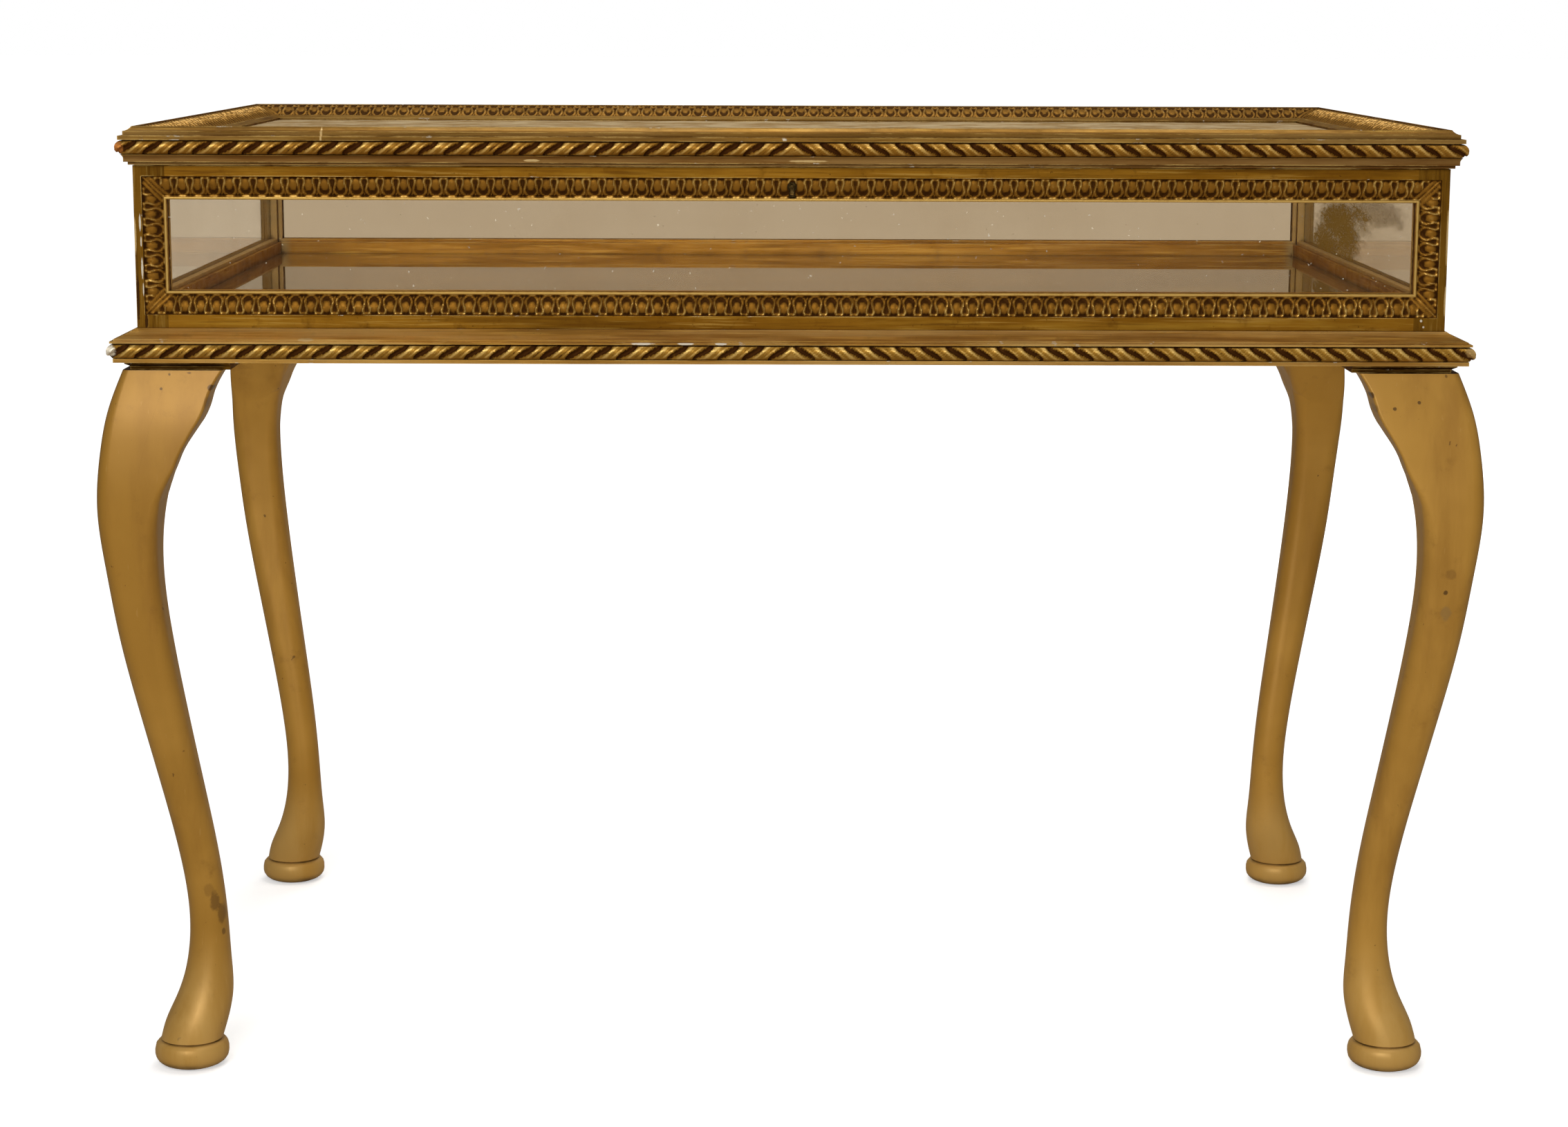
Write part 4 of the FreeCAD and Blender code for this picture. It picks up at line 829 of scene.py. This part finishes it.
# a darker copy of the gilding for the leg caps under the base: painted shade
shaded = case_gilding("cap_gilding_painted_shade", ALONG_X, 0.8)
# a lighter copy of the gilding with more pale rubbing: painted light inside the case, where the
# lamps reach less; its ends take a painted reflection of the glass
inner_painted_light = case_gilding("inner_gilding_painted_light", ALONG_X, 1.26, (), 0.55, 0.3,
                     ends=("X", 0.484, 0.494, OLIVE_PAINTED_REFLECTION))
carved = carved_gilding("carved_gilding", srgb(66, 38, 13), srgb(136, 93, 31),
                        srgb(206, 168, 92))
lid_carved = carved_gilding("lid_carved_gilding", srgb(64, 40, 16), srgb(140, 100, 42),
                            srgb(186, 148, 88))
ribbon = carved_gilding("ribbon_gilding", srgb(66, 36, 12), srgb(154, 112, 42),
                        srgb(212, 174, 98), RIBBON_CHIPS)
lid_ribbon = carved_gilding("lid_ribbon_gilding", srgb(64, 34, 11), srgb(146, 102, 36),
                            srgb(204, 164, 90), LID_RIBBON_CHIPS)
bronze = leg_gilding("bronze_gilding", 1.0, LEG_MARKS)
# a lighter copy of the leg gilding: painted light on the rear legs, which the case shades
rear_bronze_painted_light = leg_gilding("rear_bronze_gilding_painted_light", 1.06)
timber = plain_timber("dark_timber")
brass = aged_brass("aged_brass")
# a much darker copy of the brass for the keyhole's liner: painted shade in the hole
dark_brass_painted_shade = aged_brass("dark_brass_painted_shade", 0.35)
pane_glass = old_glass("pane_glass", TINT)
clear_glass = old_glass("clear_pane_glass", CLEAR_TINT)
front_glass = old_glass("front_pane_glass", FRONT_TINT, 0.02)
end_glass = old_glass("stained_pane_glass", TINT, 0.04, 0, PANE_STAINS, (132, 103, 38))
lid_glass = old_glass("lid_pane_glass", TINT, 0.04, 0.9)
BY_SLOT = {"bronze_gilt": bronze, "plain_wood": timber, "brass": brass, "glass": pane_glass}
BY_NODE = {"pane_left": clear_glass, "floor_pane": clear_glass, "bottom_rail_rear": inner_painted_light,
           "pane_right": end_glass, "pane_front": front_glass, "lid_pane": lid_glass,
           "glazing_beads": inner_painted_light, "keyhole_liner": dark_brass_painted_shade}
BY_NODE.update({f"leg_cap_{corner}": shaded for corner in CORNERS})


def finish_of(node):
    """The material of a CAD node that is carried over as it is."""
    slot = slots[node]
    if node in BY_NODE:
        return BY_NODE[node]
    if slot != "gilt":
        return BY_SLOT[slot]
    if node.startswith("corner_post"):
        return gilt_z
    across = node.endswith(("left", "right"))
    if node.startswith("lid_"):
        return lid_y if across else lid_x
    if node.startswith("base_"):
        return base_y_painted_light if across else base_x_painted_light
    return gilt_y if across else gilt_x


slots = {part["node"]: part["material_slot"] for part in frame["record"]["subparts"]}
for node, obj in frame["nodes"].items():
    obj.data.materials.clear()
    obj.data.materials.append(finish_of(node))


# ---------------------------------------------------------------- pieces


def cut_keyhole(bead):
    """Cut the keyhole through the carving above the front window."""
    cutter = bpy.data.meshes.new("keyhole_cutter")
    outline = [(KEYHOLE_RADIUS * math.cos(a), KEYHOLE_LEVEL + KEYHOLE_RADIUS * math.sin(a))
               for a in np.radians(np.linspace(-53.5, 233.5, 30))]
    outline += [(-SLOT_HALF_WIDTH, SLOT_FOOT), (SLOT_HALF_WIDTH, SLOT_FOOT)]
    bm = bmesh.new()
    loop = bm.faces.new([bm.verts.new((x * MM, CUT_FROM * MM, z * MM)) for x, z in outline])
    made = bmesh.ops.extrude_face_region(bm, geom=[loop])["geom"]
    bmesh.ops.translate(bm, vec=(0, CUT_DEPTH * MM, 0),
                        verts=[v for v in made if isinstance(v, bmesh.types.BMVert)])
    bmesh.ops.recalc_face_normals(bm, faces=bm.faces)
    bm.to_mesh(cutter)
    bm.free()
    tool = bpy.data.objects.new("keyhole_cutter", cutter)
    bpy.context.scene.collection.objects.link(tool)
    modifier = bead.modifiers.new("keyhole", "BOOLEAN")
    modifier.object, modifier.operation, modifier.solver = tool, "DIFFERENCE", "EXACT"
    bpy.context.view_layer.update()
    cut = bpy.data.meshes.new_from_object(
        bead.evaluated_get(bpy.context.evaluated_depsgraph_get()))
    bead.modifiers.clear()
    bead.data = cut
    bpy.data.objects.remove(tool)


egg_columns = even_columns(EGG_PITCH, EGG_COLUMNS)
window_egg = egg_and_dart(WINDOW_CARVED, 2.1)
for quarter, side in enumerate(SIDES):
    half = (HALF_X if quarter % 2 == 0 else HALF_Y) - WINDOW_INSET
    points, faces, worn = ring(half, WINDOW_HALF_HEIGHT, window_rows(), egg_columns, window_egg,
                               window_place(quarter))
    bead = build(f"carved_bead_{side}", points, faces, "case", [f"egg_and_dart_{side}"], carved,
                 worn=worn)
    if side == "front":
        cut_keyhole(bead)

points, faces, worn = ring(HALF_X - LID_INSET, HALF_Y - LID_INSET, lid_bead_rows(), egg_columns,
                           egg_and_dart(LID_CARVED, 1.7), flat_place)
build("carved_bead_lid", points, faces, "lid", ["lid_egg_and_dart"], lid_carved, worn=worn)

rope_columns = even_columns(ROPE_PITCH, ROPE_COLUMNS)
for name, node, body, low, high, reach, flat, seat, leaf in (
        ("ribbon_base", "base_rope", "case", 593.7, 605.9, 21.6, 16.0, 14.0, ribbon),
        ("ribbon_lid", "lid_rope", "lid", 753.7, 765.1, 11.9, 6.8, 5.0, lid_ribbon)):
    twist = twisted_ribbon((low + high) / 2, (high - low) / 2, 2.9)
    points, faces, worn = ring(HALF_X + reach, HALF_Y + reach,
                               rope_rows(low, high, reach, flat, seat), rope_columns, twist,
                               flat_place)
    build(name, points, faces, body, [node], leaf, worn=worn)

for corner in CORNERS:
    # rear legs take the lighter copy: painted light
    leaf = rear_bronze_painted_light if corner.startswith("rear") else bronze
    points, faces = leg_mesh(corner)
    build(f"cabriole_leg_{corner}", points, faces, "case", [f"leg_{corner}"], leaf,
          smooth_angle=50)
    for along_x, face in ((True, corner.split("_")[0]), (False, corner.split("_")[1])):
        points, faces = ear_mesh(corner, along_x)
        build(f"knee_ear_{corner}_{face}", points, faces, "case", ["knee_blocks"], leaf,
              smooth_angle=40)


def screw(name, centre, normal, radius, turn, body):
    """A countersunk screw's head: a low dome with a sawn slot."""
    rings = ((1.0, 0.0), (0.94, 0.10), (0.6, 0.17), (0.25, 0.20))
    around = 28
    normal = Vector(normal)
    side = normal.orthogonal().normalized()
    side.rotate(Matrix.Rotation(math.radians(turn), 3, normal))
    across = normal.cross(side)
    points, faces = [], []

    def at(x, y, height):
        return Vector(centre) + side * x + across * y + normal * height
    for share, height in rings:
        for k in range(around):
            angle = 2 * math.pi * k / around
            x, y = radius * share * math.cos(angle), radius * share * math.sin(angle)
            in_slot = abs(y) < 0.14 * radius + 1e-6
            points.append(at(x, y, height * radius * 0.5 - (0.22 * radius if in_slot else 0)))
    for r in range(len(rings) - 1):
        for k in range(around):
            n = (k + 1) % around
            faces.append((r * around + k, r * around + n, (r + 1) * around + n,
                          (r + 1) * around + k))
    top = (len(rings) - 1) * around
    faces.append([top + k for k in range(around)])
    low = len(points)
    for k in range(around):
        angle = 2 * math.pi * k / around
        points.append(at(radius * math.cos(angle), radius * math.sin(angle), -0.5 * radius))
    for k in range(around):
        n = (k + 1) % around
        faces.append((k, low + k, low + n, n))
    faces.append([low + k for k in range(around)])
    return build(name, np.array([tuple(p) for p in points]), faces, body, (), brass,
                 smooth_angle=30)


for hand, middle in (("left", -HINGE_X), ("right", HINGE_X)):
    for n, x in enumerate((-18, 0, 18)):
        y = HINGE_Y + 1.6 * (n % 2)
        screw(f"hinge_screw_case_{hand}_{n}", (middle + x, y, CASE_TOP), (0, 0, 1),
              HINGE_SCREW, 35 + 47 * n, "case")
        screw(f"hinge_screw_lid_{hand}_{n}", (middle + x, y, CASE_TOP + LID_GAP), (0, 0, -1),
              HINGE_SCREW, 12 + 61 * n, "lid")
for n, x in enumerate((-20, 20)):
    screw(f"link_plate_screw_{n}", (x, -294, CASE_TOP + LID_GAP), (0, 0, -1), HINGE_SCREW,
          20 + 70 * n, "lid")
    screw(f"lock_screw_{n}", (1.475 * x, -285, 733), (0, 1, 0), LOCK_SCREW, 30 + 55 * n, "case")


# ---------------------------------------------------------------- floor, light and camera


def pale_floor():
    """White paper: bright where the camera sees it, also through glass, and dull elsewhere."""
    t = Tree("pale_floor")
    paper = t.add("BsdfDiffuse", {"Color": (0.93, 0.93, 0.925, 1)})
    away = t.add("VectorMath", {0: t.object}, operation="LENGTH").outputs["Value"]
    glow = t.add("Emission", {"Color": (1, 1, 1, 1),
                              "Strength": t.between(away, 0.7, 4.0, 0.46, 0.95)})
    lift = t.add("AddShader", {0: paper.outputs[0], 1: glow.outputs[0]})
    seen = t.add("LightPath")
    share = t.math("MAXIMUM", seen.outputs["Is Camera Ray"], seen.outputs["Is Transmission Ray"])
    soft = t.add("BsdfDiffuse", {"Color": (0.46, 0.41, 0.33, 1)})
    both = t.add("MixShader", {0: share, 1: soft.outputs[0], 2: lift.outputs[0]})
    t.links.new(both.outputs[0], t.output.inputs[0])
    return t.material


# just below the feet
FLOOR_LEVEL = -0.0002
floor_mesh = bpy.data.meshes.new("studio_floor")
floor_mesh.from_pydata([(x, y, FLOOR_LEVEL) for x, y in ((-30, -12), (30, -12), (30, 60),
                                                         (-30, 60))], [], [(0, 1, 2, 3)])
floor_mesh.materials.append(pale_floor())
studio_floor = bpy.data.objects.new("studio_floor", floor_mesh)
bpy.context.scene.collection.objects.link(studio_floor)
studio_floor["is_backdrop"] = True

# the sky is white where the camera sees it, also through glass, and a dim light elsewhere
WORLD_LIGHT = 0.17
world = bpy.data.worlds.new("studio")
bpy.context.scene.world = world
world.use_nodes = True
nodes, links = world.node_tree.nodes, world.node_tree.links
nodes.clear()
path = nodes.new("ShaderNodeLightPath")
seen = nodes.new("ShaderNodeMath")
seen.operation = "MAXIMUM"
links.new(path.outputs["Is Camera Ray"], seen.inputs[0])
links.new(path.outputs["Is Transmission Ray"], seen.inputs[1])
strength = nodes.new("ShaderNodeMapRange")
strength.inputs["To Min"].default_value = WORLD_LIGHT
strength.inputs["To Max"].default_value = 1.0
links.new(seen.outputs[0], strength.inputs["Value"])
background = nodes.new("ShaderNodeBackground")
background.inputs["Color"].default_value = (1, 1, 1, 1)
links.new(strength.outputs[0], background.inputs["Strength"])
links.new(background.outputs[0], nodes.new("ShaderNodeOutputWorld").inputs[0])


def softbox(name, position, target, width, height, power, glossy=True):
    """A rectangular lamp that isn't seen through glass, nor in gloss unless glossy."""
    light = bpy.data.lights.new(name, "AREA")
    light.shape = "RECTANGLE"
    light.size, light.size_y, light.energy = width, height, power
    lamp = bpy.data.objects.new(name, light)
    lamp.location = position
    lamp.visible_glossy = glossy
    lamp.visible_transmission = False
    lamp.rotation_euler = (Vector(target) - Vector(position)).to_track_quat("-Z", "Y").to_euler()
    bpy.context.scene.collection.objects.link(lamp)


softbox("key", (-0.8, -3.3, 2.3), (0, 0, 0.45), 1.7, 1.7, 58)
softbox("fill", (0.5, -3.6, 0.60), (0, 0, 0.42), 1.9, 1.0, 40, False)
softbox("rear", (0.7, 3.3, 1.7), (0, 0, 0.45), 1.8, 1.4, 26, False)
softbox("top", (0.1, 0.1, 3.0), (0, 0, 0.5), 2.2, 1.6, 38)

# the camera as fitted to the photograph: place in metres, turns in radians, focal length in pixels
CAMERA_AT = (-0.017784, -2.832076, 0.864916)
PITCH, YAW, ROLL = 0.1716, 0.0049, 0.0033
FOCAL_PIXELS, PICTURE_WIDTH, SENSOR = 4594.93, 2268, 36
camera_data = bpy.data.cameras.new("camera")
camera = bpy.data.objects.new("camera", camera_data)
bpy.context.scene.collection.objects.link(camera)
ahead = Vector((math.sin(YAW) * math.cos(PITCH), math.cos(YAW) * math.cos(PITCH),
                -math.sin(PITCH)))
level_right = Vector((math.cos(YAW), -math.sin(YAW), 0))
upright = level_right.cross(ahead)
right = level_right * math.cos(ROLL) + upright * math.sin(ROLL)
up = upright * math.cos(ROLL) - level_right * math.sin(ROLL)
camera.matrix_world = Matrix.Translation(CAMERA_AT) @ Matrix(
    (right, up, -ahead)).transposed().to_4x4()
camera_data.sensor_width = SENSOR
camera_data.lens = SENSOR * FOCAL_PIXELS / PICTURE_WIDTH
camera_data.clip_end = 200
bpy.context.scene.camera = camera
bpy.context.scene.view_settings.view_transform = "Standard"

low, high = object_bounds()
